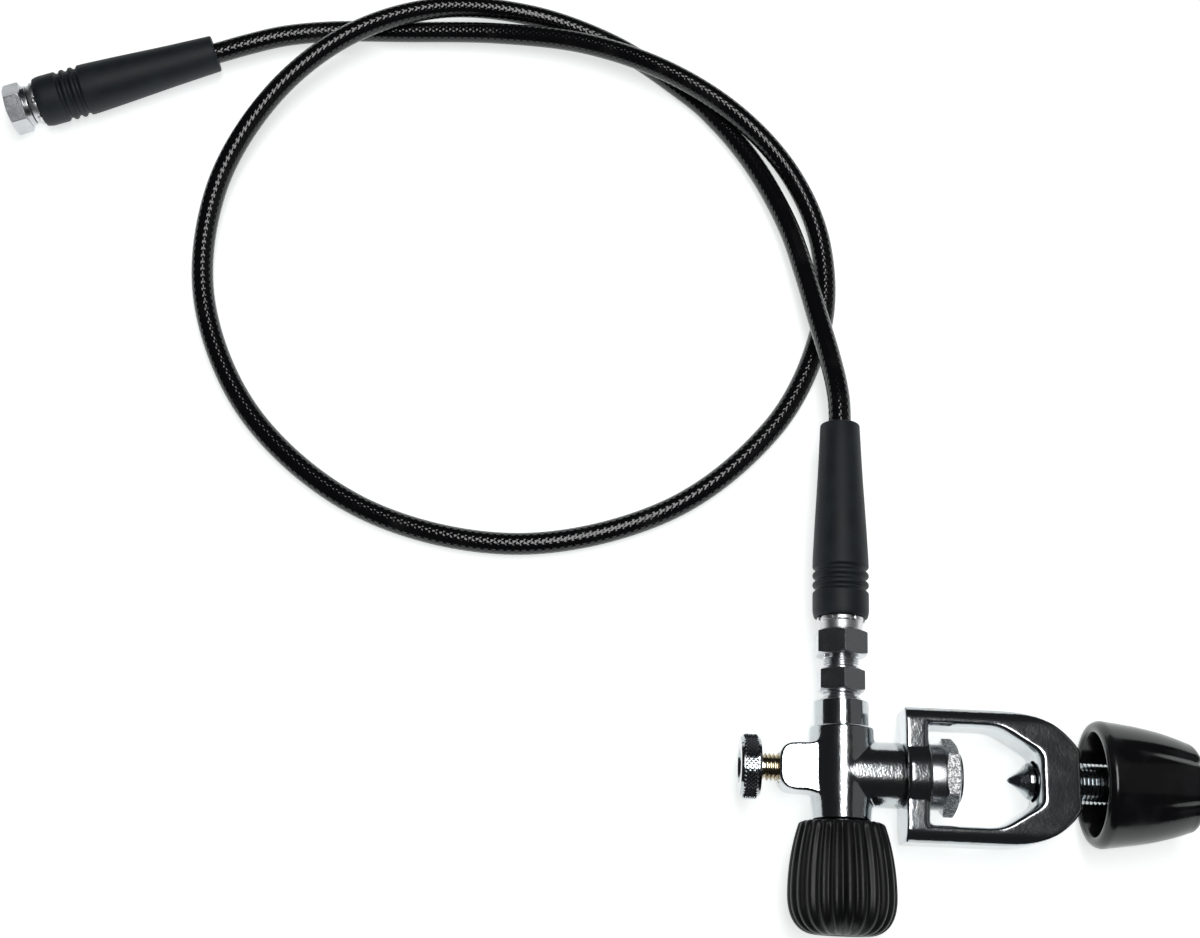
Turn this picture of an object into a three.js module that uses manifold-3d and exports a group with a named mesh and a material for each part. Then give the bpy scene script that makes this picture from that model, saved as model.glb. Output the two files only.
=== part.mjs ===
// Scuba tank fill whip: a yoke clamp, a shut-off valve with a bleed screw, and a high-pressure hose
// with two rubber bend protectors and a swivel nut. Millimetres, +Z up, lying on the plane z = 0.
//
// The clamp's axis runs along X and the shut-off valve's axis along Y. They cross at the valve body's
// centre, AXIS_Z above the table. Head parts are drawn around that crossing, in one nested group.

import * as THREE from 'three';
import { mergeVertices } from 'three/addons/utils/BufferGeometryUtils.js';
import Module from 'manifold-3d';

const wasm = await Module();
wasm.setup();

// ---- Driving dimensions -------------------------------------------------------------------------

const GAP = 0.3;                  // running clearance between neighbouring pieces
const ROUND = 28;                 // facets round a turned piece
const SMALL_ROUND = 16;           // facets round a small inner piece
const GAS_WAY = 2;                // radius of the drilled gas passages
const DEGREE = Math.PI / 180;

// Clamp screw's knob: a cup whose mouth faces the yoke
const KNOB_RADIUS = 23.8;
const KNOB_MOUTH_X = 93.7;
const KNOB_END_X = 132.4;
const KNOB_CUP_RADIUS = 19;
const KNOB_CUP_FLOOR_X = 112;

const AXIS_Z = KNOB_RADIUS;       // the head lies on its widest knob

// Valve body: a cross of a vertical barrel (Y) and a clamp branch (X) with a bleed boss opposite
const BARREL_RADIUS = 12.2;
const BARREL_TOP_Y = 26.8;
const BARREL_FOOT_Y = -17.8;
const FOOT_RADIUS = 11;
const FOOT_Y = -11;
const COLLAR_RADIUS = 10.5;       // the barrel's stepped top
const SHOULDER_Y = 17;
const BRANCH_RADIUS = 12.2;
const BRANCH_END_X = 22.2;
const BOSS_END_X = -24;
const BOSS_HALF_WIDTH = 8.8;
const BOSS_FLARE = 2;             // how far the boss widens where it meets the barrel
const BOSS_CORNER = 6.5;
const BOSS_THICKNESS = 16;
const BLEED_OFFSET_Y = 1.2;       // the bleed boss sits a little off the clamp's axis

// Ports in the valve body, each drilled towards the crossing
const OUTLET_FLOOR_Y = 11;
const BLEED_FLOOR_X = -10.1;
const BLEED_WAY = 1.2;
const CHAMBER_STEP_Y = -11.4;
const SEAT_Y = -2.5;

// Yoke: a flat frame with a square rear wall and a tapering arch
const YOKE_REAR_X = BRANCH_END_X + GAP;
const YOKE_WALL_X = 31.6;
const YOKE_HALF_WIDTH = 25;
const YOKE_INNER_HALF = 18.2;
const YOKE_BEND_X = 56;           // where the arms start to close towards the arch
const YOKE_ARCH_X = 72;
const YOKE_BULGE_X = 70;          // the curve that takes each arm to the boss
const YOKE_BULGE_END = [80, 22];
const YOKE_REAR_CORNER = 1.5;
const YOKE_END_X = 87;
const YOKE_BOSS_RADIUS = 11;
const YOKE_HUB_RADIUS = 14.5;
const YOKE_THICKNESS = 22;
const YOKE_SIDE_ROUNDING = 8;     // the arms' outer sides are rounded off

// Yoke nut: the hollow bolt that holds the yoke on the valve body and seals on the tank valve
const NUT_SHANK_RADIUS = 8;
const NUT_SHANK_X = 9;
const NUT_GROOVE_RADIUS = 6.4;    // holds the sealing ring in the body's port
const NUT_GROOVE_X = 12;
const NUT_GROOVE_END_X = 14.4;
const NUT_BORE = 2.6;
const NUT_COLLAR_RADIUS = 12.25;
const NUT_COLLAR_END_X = 36.8;
const NUT_HEX_FLATS = 25.5;
const NUT_HEX_END_X = 42.4;
const NUT_RING_RADIUS = 9.4;
const NUT_FACE_X = 44;

// Clamp screw
const SCREW_RADIUS = 7.5;
const SCREW_TIP_X = 62;
const SCREW_CONE_X = 69;
const SCREW_END_X = 124;
const INSERT_RADIUS = 10;

// Bleed screw, on the -X side
const BLEED_KNOB_RADIUS = 12.15;
const BLEED_KNOB_END_X = -38.4;
const BLEED_KNOB_X = -30.8;
const BLEED_THREAD_RADIUS = 5.4;
const BLEED_TIP_X = -14.5;
const BLEED_BALL_RADIUS = 1.9;
const BLEED_BALL_X = -12.3;
const BLEED_GROOVE_RADIUS = 3.6;
const BLEED_GROOVE_X = -19.2;
const BLEED_GROOVE_END_X = -17;

// Shut-off valve's inner parts and handwheel, on the -Y side
const BONNET_RADIUS = 7;
const BONNET_INNER_Y = -11.7;
const BONNET_HEX_FLATS = 19;
const BONNET_OUTER_Y = -22.5;
const PLUG_RADIUS = 5;
const BONNET_GROOVE_RADIUS = 5.9;
const BONNET_GROOVE_Y = -17;
const BONNET_GROOVE_END_Y = -15;
const STEM_RADIUS = 3;
const STEM_THREAD_RADIUS = 2.4;
const STEM_END_Y = -49.4;
const STEM_STEP_Y = -44;
const STEM_FLANGE_RADIUS = 4.8;
const STEM_FLANGE_Y = -14.3;
const STEM_FLANGE_END_Y = -12.4;
const STEM_KEY_RADIUS = 2;
const STEM_TIP_Y = -11.5;
const STEM_SEAL_RADIUS = 4.7;
const STEM_SEAL_Y = -20.6;
const STEM_SEAL_END_Y = -18.6;
const WHEEL_RIM_Y = -18.2;
const WHEEL_END_Y = -58.7;
const WHEEL_RADIUS = 20.2;
const CORE_RADIUS = 12;
const CORE_TOP_Y = -24.3;
const CORE_END_Y = -50.7;

// Hose adapter on the +Y side of the body
const ADAPTER_SHANK_RADIUS = 5.5;
const ADAPTER_NECK_RADIUS = 7.6;
const ADAPTER_HEX_FLATS = 17;
const ADAPTER_HEX_Y = 30.6;
const ADAPTER_HEX_END_Y = 39;
const ADAPTER_THREAD_RADIUS = 6.9;
const ADAPTER_TIP_RADIUS = 5;
const ADAPTER_START_Y = 12;
const ADAPTER_GROOVE_RADIUS = 3.9;
const ADAPTER_GROOVE_Y = 15;
const ADAPTER_GROOVE_END_Y = 17.4;

// Hose end fittings, measured along the fitting from its datum
const END_DATUM_Y = 44.1;
const SWIVEL_HEX_FLATS = 19;
const SWIVEL_BORE_RADIUS = 5.3;
const SWIVEL_WALL = 1.4;
const SWIVEL_COLLAR_RADIUS = 8.6;
const NIPPLE_RADIUS = 3.6;
const FERRULE_RADIUS = 9.2;
const FERRULE_TAIL_RADIUS = 7.5;
const FERRULE_END = 42;
const RELIEF_START = 15.3;
const RELIEF_RADIUS = 10.9;
const RELIEF_BAND_END = 38;
const RELIEF_MOUTH = 94.5;
const RELIEF_MOUTH_RADIUS = 7.85;
const HOSE_RADIUS = 4.5;
const HOSE_BORE = HOSE_RADIUS + 0.4;
const HOSE_START = 32;            // where the hose meets the nipple, inside the ferrule

// The head's box, without the bend protectors and the hose, is centred on the origin
const CROSSING_X = -(BLEED_KNOB_END_X + KNOB_END_X) / 2;
const CROSSING_Y = -(WHEEL_END_Y + END_DATUM_Y + FERRULE_END) / 2;

// The far end of the hose
const FAR_MOUTH = [-320.5, 291.6];
const FAR_AXIS_Z = 11;
const FAR_TURN = -69 * DEGREE;    // turns the fitting's axis from +Y

// The hose's route, from the near nipple to the far one
const HOSE_ROUTE = [
  [-47, 62.4, 23.8], [-47, 94, 23.8], [-47, 127, 23.8], [-47.8, 141, 22.6],
  [-50.6, 157, 19.5], [-55, 176, 16], [-60, 197, 12.6], [-66, 218, 9.6],
  [-75, 239, 6.9], [-85, 256.2, 5.4], [-97, 271.6, 4.7], [-111.5, 285.4, 4.6],
  [-144, 307.5, 5.2], [-183, 319.2, 9], [-224, 316.4, 15.6], [-262, 298, 19.3],
  [-293, 266, 17.8], [-312.5, 222.5, 13], [-312, 172, 8], [-286, 122.5, 5.2],
  [-237, 86.5, 4.6], [-175, 75, 4.6], [-115, 91.5, 4.6], [-72.5, 128.5, 4.6],
  [-52.5, 172, 4.6], [-51.8, 211.5, 5.4], [-65, 244, 8.6], [-89, 270, 12.8],
  [-120.5, 290, 14.3], [-157, 303.5, 12.5], [-197, 308.7, 9.7], [-239.5, 308.2, 8.4],
  [-268, 306.6, 9.2], [-290, 302.6, 10.4], [-306.5, 297, 11], [-320.5, 291.6, 11],
  [-348.5, 280.9, 11], [-378.8, 269.2, 11],
];
const HOSE_STEPS = 72;
const HOSE_SIDES = 10;

// ---- Materials ----------------------------------------------------------------------------------

const chrome = metal(0xb9bcc0, 0.15);
const satinChrome = metal(0x8f9499, 0.3);
const brass = metal(0xb59a5c, 0.3);
const steel = metal(0x9a9da1, 0.35);
const glossBlack = plain(0x0b0b0d, 0.25);
const rubber = plain(0x20262c, 0.75);
const wheelRubber = plain(0x17181a, 0.7);
const hoseCover = plain(0x08090a, 0.3);
const sealBlack = plain(0x101010, 0.8);
const sealWhite = plain(0xe2e0d8, 0.6);
const corePlastic = plain(0x1b1c1e, 0.6);

function metal(color, roughness) {
  return new THREE.MeshStandardMaterial({ color, roughness, metalness: 1 });
}

function plain(color, roughness) {
  return new THREE.MeshStandardMaterial({ color, roughness, metalness: 0 });
}

// ---- Shape helpers ------------------------------------------------------------------------------

// A profile of [radius, distance] points turned round the Y axis
function turnedY(profile, facets = ROUND) {
  const points = profile.map(([radius, along]) => new THREE.Vector2(radius, along));
  return new THREE.LatheGeometry(points, facets);
}

// The same, round the X axis
function turnedX(profile, facets = ROUND) {
  return turnedY(profile, facets).rotateZ(-Math.PI / 2);
}

// A closed ring profile between two radii and two distances
function ring(inner, outer, low, high) {
  return [[inner, low], [outer, low], [outer, high], [inner, high], [inner, low]];
}

// A rod profile that starts and ends on the axis
function rod(radius, low, high) {
  return [[0, low], [radius, low], [radius, high], [0, high]];
}

// A hexagonal prism along Y, with a corner straight up
function hexY(flats, low, high) {
  const cornerRadius = flats / Math.sqrt(3);
  const prism = new THREE.CylinderGeometry(cornerRadius, cornerRadius, high - low, 6);
  return prism.translate(0, (low + high) / 2, 0);
}

// A hexagonal prism along X, with a flat straight up
function hexX(flats, low, high) {
  return hexY(flats, low, high).rotateZ(-90 * DEGREE).rotateX(30 * DEGREE);
}

// A flat plate of the outline's shape, centred on z = 0
function slab(outline, thickness) {
  const settings = { depth: thickness, bevelEnabled: false, curveSegments: 8 };
  return new THREE.ExtrudeGeometry(outline, settings).translate(0, 0, -thickness / 2);
}

function solid(geometry) {
  const bare = geometry.clone();
  bare.deleteAttribute('normal');
  bare.deleteAttribute('uv');
  const welded = mergeVertices(bare, 1e-4);
  const vertProperties = new Float32Array(welded.attributes.position.array);
  const triVerts = new Uint32Array(welded.index.array);
  return new wasm.Manifold(new wasm.Mesh({ numProp: 3, vertProperties, triVerts }));
}

function joined(...geometries) {
  return geometries.map(solid).reduce((whole, piece) => whole.add(piece));
}

function cut(whole, ...geometries) {
  return geometries.map(solid).reduce((rest, tool) => rest.subtract(tool), whole);
}

function surface(manifold) {
  const { vertProperties, triVerts } = manifold.getMesh();
  const geometry = new THREE.BufferGeometry();
  geometry.setAttribute('position', new THREE.BufferAttribute(vertProperties, 3));
  geometry.setIndex(new THREE.BufferAttribute(triVerts, 1));
  geometry.computeVertexNormals();
  return geometry;
}

function node(name, geometry, material) {
  const mesh = new THREE.Mesh(geometry, material);
  mesh.name = name;
  return mesh;
}

// ---- Valve body ---------------------------------------------------------------------------------

// The bleed boss is a flat lug with a rounded end, widening where it meets the barrel
function bossOutline() {
  const half = BOSS_HALF_WIDTH;
  const root = half + BOSS_FLARE;
  const outline = new THREE.Shape();
  outline.moveTo(0, -root);
  outline.lineTo(0, root);
  outline.lineTo(-8, root);
  outline.quadraticCurveTo(-11, half, -14, half);
  outline.lineTo(BOSS_END_X + BOSS_CORNER, half);
  outline.quadraticCurveTo(BOSS_END_X, half, BOSS_END_X, half - BOSS_CORNER);
  outline.lineTo(BOSS_END_X, BOSS_CORNER - half);
  outline.quadraticCurveTo(BOSS_END_X, -half, BOSS_END_X + BOSS_CORNER, -half);
  outline.lineTo(-14, -half);
  outline.quadraticCurveTo(-11, -half, -8, -root);
  outline.closePath();
  return outline;
}

// The drilled and bored spaces inside the body
function ports() {
  const outlet = ADAPTER_SHANK_RADIUS + GAP;
  const clamp = NUT_SHANK_RADIUS + GAP;
  const clampFloor = NUT_SHANK_X - GAP;
  const bleed = BLEED_THREAD_RADIUS + GAP;
  const bonnet = BONNET_RADIUS + GAP;
  const plug = PLUG_RADIUS + GAP;
  return [
    turnedY([
      [0, 0], [GAS_WAY, 0], [GAS_WAY, OUTLET_FLOOR_Y], [outlet, OUTLET_FLOOR_Y],
      [outlet, BARREL_TOP_Y + 1], [0, BARREL_TOP_Y + 1],
    ], SMALL_ROUND),
    turnedX([
      [0, 0], [GAS_WAY, 0], [GAS_WAY, clampFloor], [clamp, clampFloor],
      [clamp, BRANCH_END_X + 1], [0, BRANCH_END_X + 1],
    ], SMALL_ROUND),
    turnedX([
      [0, BOSS_END_X - 1], [bleed, BOSS_END_X - 1], [bleed, BLEED_FLOOR_X],
      [BLEED_WAY, BLEED_FLOOR_X], [BLEED_WAY, 0], [0, 0],
    ], SMALL_ROUND).translate(0, BLEED_OFFSET_Y, 0),
    turnedY([
      [0, BARREL_FOOT_Y - 1], [bonnet, BARREL_FOOT_Y - 1], [bonnet, CHAMBER_STEP_Y],
      [plug, CHAMBER_STEP_Y], [plug, SEAT_Y], [GAS_WAY, SEAT_Y], [GAS_WAY, 1], [0, 1],
    ], SMALL_ROUND),
  ];
}

function valveBody() {
  const barrel = turnedY([
    [0, BARREL_FOOT_Y], [FOOT_RADIUS, BARREL_FOOT_Y], [FOOT_RADIUS, FOOT_Y],
    [BARREL_RADIUS, FOOT_Y + 3], [BARREL_RADIUS, SHOULDER_Y], [COLLAR_RADIUS, SHOULDER_Y + GAP],
    [COLLAR_RADIUS, BARREL_TOP_Y], [0, BARREL_TOP_Y],
  ]);
  const branch = turnedX(rod(BRANCH_RADIUS, 0, BRANCH_END_X));
  const boss = slab(bossOutline(), BOSS_THICKNESS).translate(0, BLEED_OFFSET_Y, 0);
  return surface(cut(joined(barrel, branch, boss), ...ports()));
}

// ---- Yoke and its nut ---------------------------------------------------------------------------

function yokeOutline() {
  const corner = YOKE_REAR_CORNER;
  const half = YOKE_HALF_WIDTH;
  const startX = YOKE_BULGE_X;
  const [endX, endY] = YOKE_BULGE_END;
  const outline = new THREE.Shape();
  outline.moveTo(YOKE_REAR_X, -half + corner);
  outline.quadraticCurveTo(YOKE_REAR_X, -half, YOKE_REAR_X + corner, -half);
  outline.lineTo(YOKE_BEND_X, -half);
  outline.bezierCurveTo(startX, -half, endX, -endY, YOKE_END_X, -YOKE_BOSS_RADIUS);
  outline.lineTo(YOKE_END_X, YOKE_BOSS_RADIUS);
  outline.bezierCurveTo(endX, endY, startX, half, YOKE_BEND_X, half);
  outline.lineTo(YOKE_REAR_X + corner, half);
  outline.quadraticCurveTo(YOKE_REAR_X, half, YOKE_REAR_X, half - corner);
  outline.closePath();
  return outline;
}

function yokeThroat() {
  const half = YOKE_INNER_HALF;
  const throat = new THREE.Shape();
  throat.moveTo(YOKE_WALL_X, -half);
  throat.lineTo(YOKE_BEND_X, -half);
  throat.quadraticCurveTo(60, -17.6, YOKE_ARCH_X, -9.5);
  throat.lineTo(YOKE_ARCH_X, 9.5);
  throat.quadraticCurveTo(60, 17.6, YOKE_BEND_X, half);
  throat.lineTo(YOKE_WALL_X, half);
  throat.closePath();
  return throat;
}

// The frame's section across the arms, a rectangle with well rounded corners
function yokeSection() {
  const half = YOKE_HALF_WIDTH + 1;
  const high = YOKE_THICKNESS / 2;
  const rounding = YOKE_SIDE_ROUNDING;
  const section = new THREE.Shape();
  section.moveTo(-half + rounding, -high);
  section.lineTo(half - rounding, -high);
  section.quadraticCurveTo(half, -high, half, -high + rounding);
  section.lineTo(half, high - rounding);
  section.quadraticCurveTo(half, high, half - rounding, high);
  section.lineTo(-half + rounding, high);
  section.quadraticCurveTo(-half, high, -half, high - rounding);
  section.lineTo(-half, -high + rounding);
  section.quadraticCurveTo(-half, -high, -half + rounding, -high);
  return section;
}

function yoke() {
  const frame = slab(yokeOutline(), YOKE_THICKNESS + 10);
  const section = slab(yokeSection(), 2 * YOKE_END_X + 20).rotateY(90 * DEGREE).rotateX(90 * DEGREE);
  const throat = slab(yokeThroat(), YOKE_THICKNESS + 20);
  const hub = turnedX([
    [0, YOKE_REAR_X], [YOKE_HUB_RADIUS - 1.5, YOKE_REAR_X], [YOKE_HUB_RADIUS, YOKE_REAR_X + 1.5],
    [YOKE_HUB_RADIUS, YOKE_WALL_X], [0, YOKE_WALL_X],
  ]);
  const boss = turnedX(rod(YOKE_BOSS_RADIUS, YOKE_ARCH_X, YOKE_END_X));
  const rearHole = turnedX(rod(NUT_SHANK_RADIUS + GAP, YOKE_REAR_X - 2, YOKE_WALL_X + 2));
  const screwHole = turnedX(rod(SCREW_RADIUS + GAP, YOKE_ARCH_X - 2, YOKE_END_X + 2));
  const bar = solid(frame).intersect(solid(section)).subtract(solid(throat));
  return surface(cut(bar.add(solid(hub)).add(solid(boss)), rearHole, screwHole));
}

function yokeNut() {
  const shoulder = YOKE_WALL_X + GAP;
  const turned = turnedX([
    [0, NUT_SHANK_X], [NUT_SHANK_RADIUS, NUT_SHANK_X], [NUT_SHANK_RADIUS, NUT_GROOVE_X],
    [NUT_GROOVE_RADIUS, NUT_GROOVE_X], [NUT_GROOVE_RADIUS, NUT_GROOVE_END_X],
    [NUT_SHANK_RADIUS, NUT_GROOVE_END_X], [NUT_SHANK_RADIUS, shoulder], [NUT_COLLAR_RADIUS, shoulder],
    [NUT_COLLAR_RADIUS, NUT_HEX_END_X - 1], [NUT_RING_RADIUS, NUT_HEX_END_X],
    [NUT_RING_RADIUS, NUT_FACE_X - 0.6], [NUT_RING_RADIUS - 0.6, NUT_FACE_X], [0, NUT_FACE_X],
  ]);
  const hex = hexX(NUT_HEX_FLATS, NUT_COLLAR_END_X, NUT_HEX_END_X);
  const bore = turnedX(rod(NUT_BORE, NUT_SHANK_X - 1, NUT_FACE_X + 1), SMALL_ROUND);
  return surface(cut(joined(turned, hex), bore));
}

function yokeParts() {
  const sealRing = ring(
    NUT_GROOVE_RADIUS + GAP, NUT_SHANK_RADIUS, NUT_GROOVE_X + GAP, NUT_GROOVE_END_X - GAP);
  return [
    node('yoke', yoke(), chrome),
    node('yoke_nut', yokeNut(), satinChrome),
    node('yoke_nut_oring', turnedX(sealRing, SMALL_ROUND), sealBlack),
  ];
}

// ---- Clamp screw and knob -----------------------------------------------------------------------

function clampScrew() {
  return turnedX([
    [0, SCREW_TIP_X], [1.6, SCREW_TIP_X + 2.2], [4, SCREW_CONE_X - 2], [6.8, SCREW_CONE_X],
    [SCREW_RADIUS, SCREW_CONE_X + 1.5], [SCREW_RADIUS, SCREW_END_X - 1.2],
    [SCREW_RADIUS - 1.2, SCREW_END_X], [0, SCREW_END_X],
  ]);
}

function clampKnob() {
  const cup = KNOB_CUP_RADIUS;
  const pocket = INSERT_RADIUS + GAP;
  return turnedX([
    [cup, KNOB_MOUTH_X + 0.8], [cup + 1, KNOB_MOUTH_X], [KNOB_RADIUS - 1.4, KNOB_MOUTH_X + 0.4],
    [KNOB_RADIUS, KNOB_MOUTH_X + 2.4], [KNOB_RADIUS - 3, 112], [17.2, KNOB_END_X - 3.4],
    [13.6, KNOB_END_X], [0, KNOB_END_X], [0, 127], [pocket, 127], [pocket, KNOB_CUP_FLOOR_X],
    [cup - 3.6, KNOB_CUP_FLOOR_X], [cup - 1.2, 108], [cup, KNOB_MOUTH_X + 0.8],
  ]);
}

function clampInsert() {
  const bore = SCREW_RADIUS + GAP;
  return turnedX(ring(bore, INSERT_RADIUS, KNOB_CUP_FLOOR_X + GAP, 126.6), SMALL_ROUND);
}

function clampParts() {
  return [
    node('clamp_screw', clampScrew(), chrome),
    node('clamp_knob', clampKnob(), glossBlack),
    node('clamp_knob_insert', clampInsert(), brass),
  ];
}

// ---- Bleed screw --------------------------------------------------------------------------------

function bleedScrew() {
  const edge = 1;
  return turnedX([
    [0, BLEED_KNOB_END_X], [BLEED_KNOB_RADIUS - edge, BLEED_KNOB_END_X],
    [BLEED_KNOB_RADIUS, BLEED_KNOB_END_X + edge], [BLEED_KNOB_RADIUS, BLEED_KNOB_X - edge],
    [BLEED_KNOB_RADIUS - edge, BLEED_KNOB_X], [BLEED_THREAD_RADIUS, BLEED_KNOB_X],
    [BLEED_THREAD_RADIUS, BLEED_GROOVE_X], [BLEED_GROOVE_RADIUS, BLEED_GROOVE_X],
    [BLEED_GROOVE_RADIUS, BLEED_GROOVE_END_X], [BLEED_THREAD_RADIUS, BLEED_GROOVE_END_X],
    [BLEED_THREAD_RADIUS, BLEED_TIP_X], [0, BLEED_TIP_X],
  ]);
}

function bleedParts() {
  const ball = new THREE.SphereGeometry(BLEED_BALL_RADIUS, 12, 8).translate(BLEED_BALL_X, 0, 0);
  const oring = turnedX(ring(
    BLEED_GROOVE_RADIUS + GAP, BLEED_THREAD_RADIUS, BLEED_GROOVE_X + GAP, BLEED_GROOVE_END_X - GAP,
  ), SMALL_ROUND);
  return [
    node('bleed_screw', bleedScrew().translate(0, BLEED_OFFSET_Y, 0), chrome),
    node('bleed_oring', oring.translate(0, BLEED_OFFSET_Y, 0), sealBlack),
    node('bleed_ball', ball.translate(0, BLEED_OFFSET_Y, 0), steel),
  ];
}

// ---- Shut-off valve -----------------------------------------------------------------------------

function bonnetNut() {
  const well = 5.1;
  const wellFloor = -15.4;
  const bore = STEM_RADIUS + GAP;
  const turned = turnedY([
    [bore, BONNET_OUTER_Y], [9, BONNET_OUTER_Y], [9, WHEEL_RIM_Y], [BONNET_RADIUS, WHEEL_RIM_Y],
    [BONNET_RADIUS, BONNET_GROOVE_Y], [BONNET_GROOVE_RADIUS, BONNET_GROOVE_Y],
    [BONNET_GROOVE_RADIUS, BONNET_GROOVE_END_Y], [BONNET_RADIUS, BONNET_GROOVE_END_Y],
    [BONNET_RADIUS, BONNET_INNER_Y], [well, BONNET_INNER_Y], [well, wellFloor], [bore, wellFloor],
    [bore, STEM_SEAL_END_Y], [STEM_SEAL_RADIUS, STEM_SEAL_END_Y], [STEM_SEAL_RADIUS, STEM_SEAL_Y],
    [bore, STEM_SEAL_Y], [bore, BONNET_OUTER_Y],
  ], SMALL_ROUND);
  const ringHex = cut(solid(hexY(BONNET_HEX_FLATS, BONNET_OUTER_Y, WHEEL_RIM_Y)),
    turnedY(rod(8.5, BONNET_OUTER_Y - 1, WHEEL_RIM_Y + 1), SMALL_ROUND));
  return surface(solid(turned).add(ringHex));
}

function valveStem() {
  return turnedY([
    [0, STEM_END_Y], [STEM_THREAD_RADIUS, STEM_END_Y], [STEM_THREAD_RADIUS, STEM_STEP_Y],
    [STEM_RADIUS, STEM_STEP_Y], [STEM_RADIUS, STEM_FLANGE_Y], [STEM_FLANGE_RADIUS, STEM_FLANGE_Y],
    [STEM_FLANGE_RADIUS, STEM_FLANGE_END_Y], [STEM_KEY_RADIUS, STEM_FLANGE_END_Y],
    [STEM_KEY_RADIUS, STEM_TIP_Y], [0, STEM_TIP_Y],
  ], SMALL_ROUND);
}

function handwheelGrip() {
  const skirt = 13;
  const pocket = CORE_RADIUS + GAP;
  const endHole = 7.3;
  return turnedY([
    [endHole, WHEEL_END_Y], [10.5, WHEEL_END_Y], [15, -56], [18.2, -51], [WHEEL_RADIUS, -43],
    [WHEEL_RADIUS - 0.6, -36], [WHEEL_RADIUS - 2.3, -25], [16, WHEEL_RIM_Y], [skirt, WHEEL_RIM_Y],
    [skirt, -24], [pocket, -24], [pocket, CORE_END_Y - GAP], [endHole, CORE_END_Y - GAP],
    [endHole, WHEEL_END_Y],
  ]);
}

function handwheelCore() {
  const bore = STEM_RADIUS + GAP;
  const well = 7;
  return turnedY([
    [well, CORE_END_Y], [CORE_RADIUS, CORE_END_Y], [CORE_RADIUS, CORE_TOP_Y], [bore, CORE_TOP_Y],
    [bore, -40], [well, -40], [well, CORE_END_Y],
  ], SMALL_ROUND);
}

function handwheelSpring() {
  const turns = 3;
  const coilRadius = 5.2;
  const wireRadius = 0.6;
  const start = -45;
  const end = -41.2;
  const points = [];
  for (let step = 0; step <= turns * 8; step += 1) {
    const angle = step * 45 * DEGREE;
    const along = start + (end - start) * step / (turns * 8);
    points.push(new THREE.Vector3(coilRadius * Math.cos(angle), along, coilRadius * Math.sin(angle)));
  }
  return alongPath(new THREE.CatmullRomCurve3(points), wireRadius, turns * 14, 6);
}

function alongPath(path, radius, steps, sides) {
  const section = new THREE.Shape();
  for (let side = 0; side < sides; side += 1) {
    const angle = side * 2 * Math.PI / sides;
    const corner = [radius * Math.cos(angle), radius * Math.sin(angle)];
    if (side === 0) section.moveTo(...corner);
    else section.lineTo(...corner);
  }
  section.closePath();
  return new THREE.ExtrudeGeometry(section, { steps, extrudePath: path, curveSegments: 1 });
}

function valveParts() {
  const bonnetRing = ring(
    BONNET_GROOVE_RADIUS + GAP, BONNET_RADIUS, BONNET_GROOVE_Y + GAP, BONNET_GROOVE_END_Y - GAP);
  const stemRing = ring(
    STEM_RADIUS + GAP, STEM_SEAL_RADIUS - GAP, STEM_SEAL_Y + GAP, STEM_SEAL_END_Y - GAP);
  const nutHex = cut(solid(hexY(9, -48.8, -45.9)), turnedY(rod(2.7, -50, -45), SMALL_ROUND));
  return [
    node('bonnet_nut', bonnetNut(), steel),
    node('bonnet_oring', turnedY(bonnetRing, SMALL_ROUND), sealBlack),
    node('valve_stem', valveStem(), steel),
    node('stem_oring', turnedY(stemRing, SMALL_ROUND), sealBlack),
    node('thrust_washer', turnedY(ring(3.3, 4.8, -15.1, -14.6), SMALL_ROUND), sealWhite),
    node('valve_plug', turnedY(rod(PLUG_RADIUS, -9, -4.7), SMALL_ROUND), brass),
    node('seat_disc', turnedY(rod(3.4, -4.4, -2.8), SMALL_ROUND), sealWhite),
    node('handwheel_grip', handwheelGrip(), wheelRubber),
    node('handwheel_core', handwheelCore(), corePlastic),
    node('handwheel_spring', handwheelSpring(), steel),
    node('handwheel_nut', surface(nutHex), steel),
  ];
}

// ---- Hose adapter and hose ends -----------------------------------------------------------------

function hoseAdapter() {
  const shankEnd = BARREL_TOP_Y + GAP;
  const tipEnd = END_DATUM_Y + 6.2;
  const turned = turnedY([
    [0, ADAPTER_START_Y], [ADAPTER_SHANK_RADIUS, ADAPTER_START_Y],
    [ADAPTER_SHANK_RADIUS, ADAPTER_GROOVE_Y], [ADAPTER_GROOVE_RADIUS, ADAPTER_GROOVE_Y],
    [ADAPTER_GROOVE_RADIUS, ADAPTER_GROOVE_END_Y], [ADAPTER_SHANK_RADIUS, ADAPTER_GROOVE_END_Y],
    [ADAPTER_SHANK_RADIUS, shankEnd], [ADAPTER_NECK_RADIUS, shankEnd],
    [ADAPTER_NECK_RADIUS, ADAPTER_HEX_Y + 1], [ADAPTER_THREAD_RADIUS, ADAPTER_HEX_END_Y - 1],
    [ADAPTER_THREAD_RADIUS, END_DATUM_Y - GAP], [ADAPTER_TIP_RADIUS, END_DATUM_Y - GAP],
    [ADAPTER_TIP_RADIUS, tipEnd - 1.5], [ADAPTER_TIP_RADIUS - 1.5, tipEnd], [0, tipEnd],
  ]);
  const hex = hexY(ADAPTER_HEX_FLATS, ADAPTER_HEX_Y, ADAPTER_HEX_END_Y);
  const bore = turnedY(rod(GAS_WAY, ADAPTER_START_Y - 1, tipEnd + 1), SMALL_ROUND);
  return surface(cut(joined(turned, hex), bore));
}

function adapterParts() {
  const oring = turnedY(ring(
    ADAPTER_GROOVE_RADIUS + GAP, ADAPTER_SHANK_RADIUS,
    ADAPTER_GROOVE_Y + GAP, ADAPTER_GROOVE_END_Y - GAP,
  ), SMALL_ROUND);
  return [node('hose_adapter', hoseAdapter(), chrome), node('adapter_oring', oring, sealBlack)];
}

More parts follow.
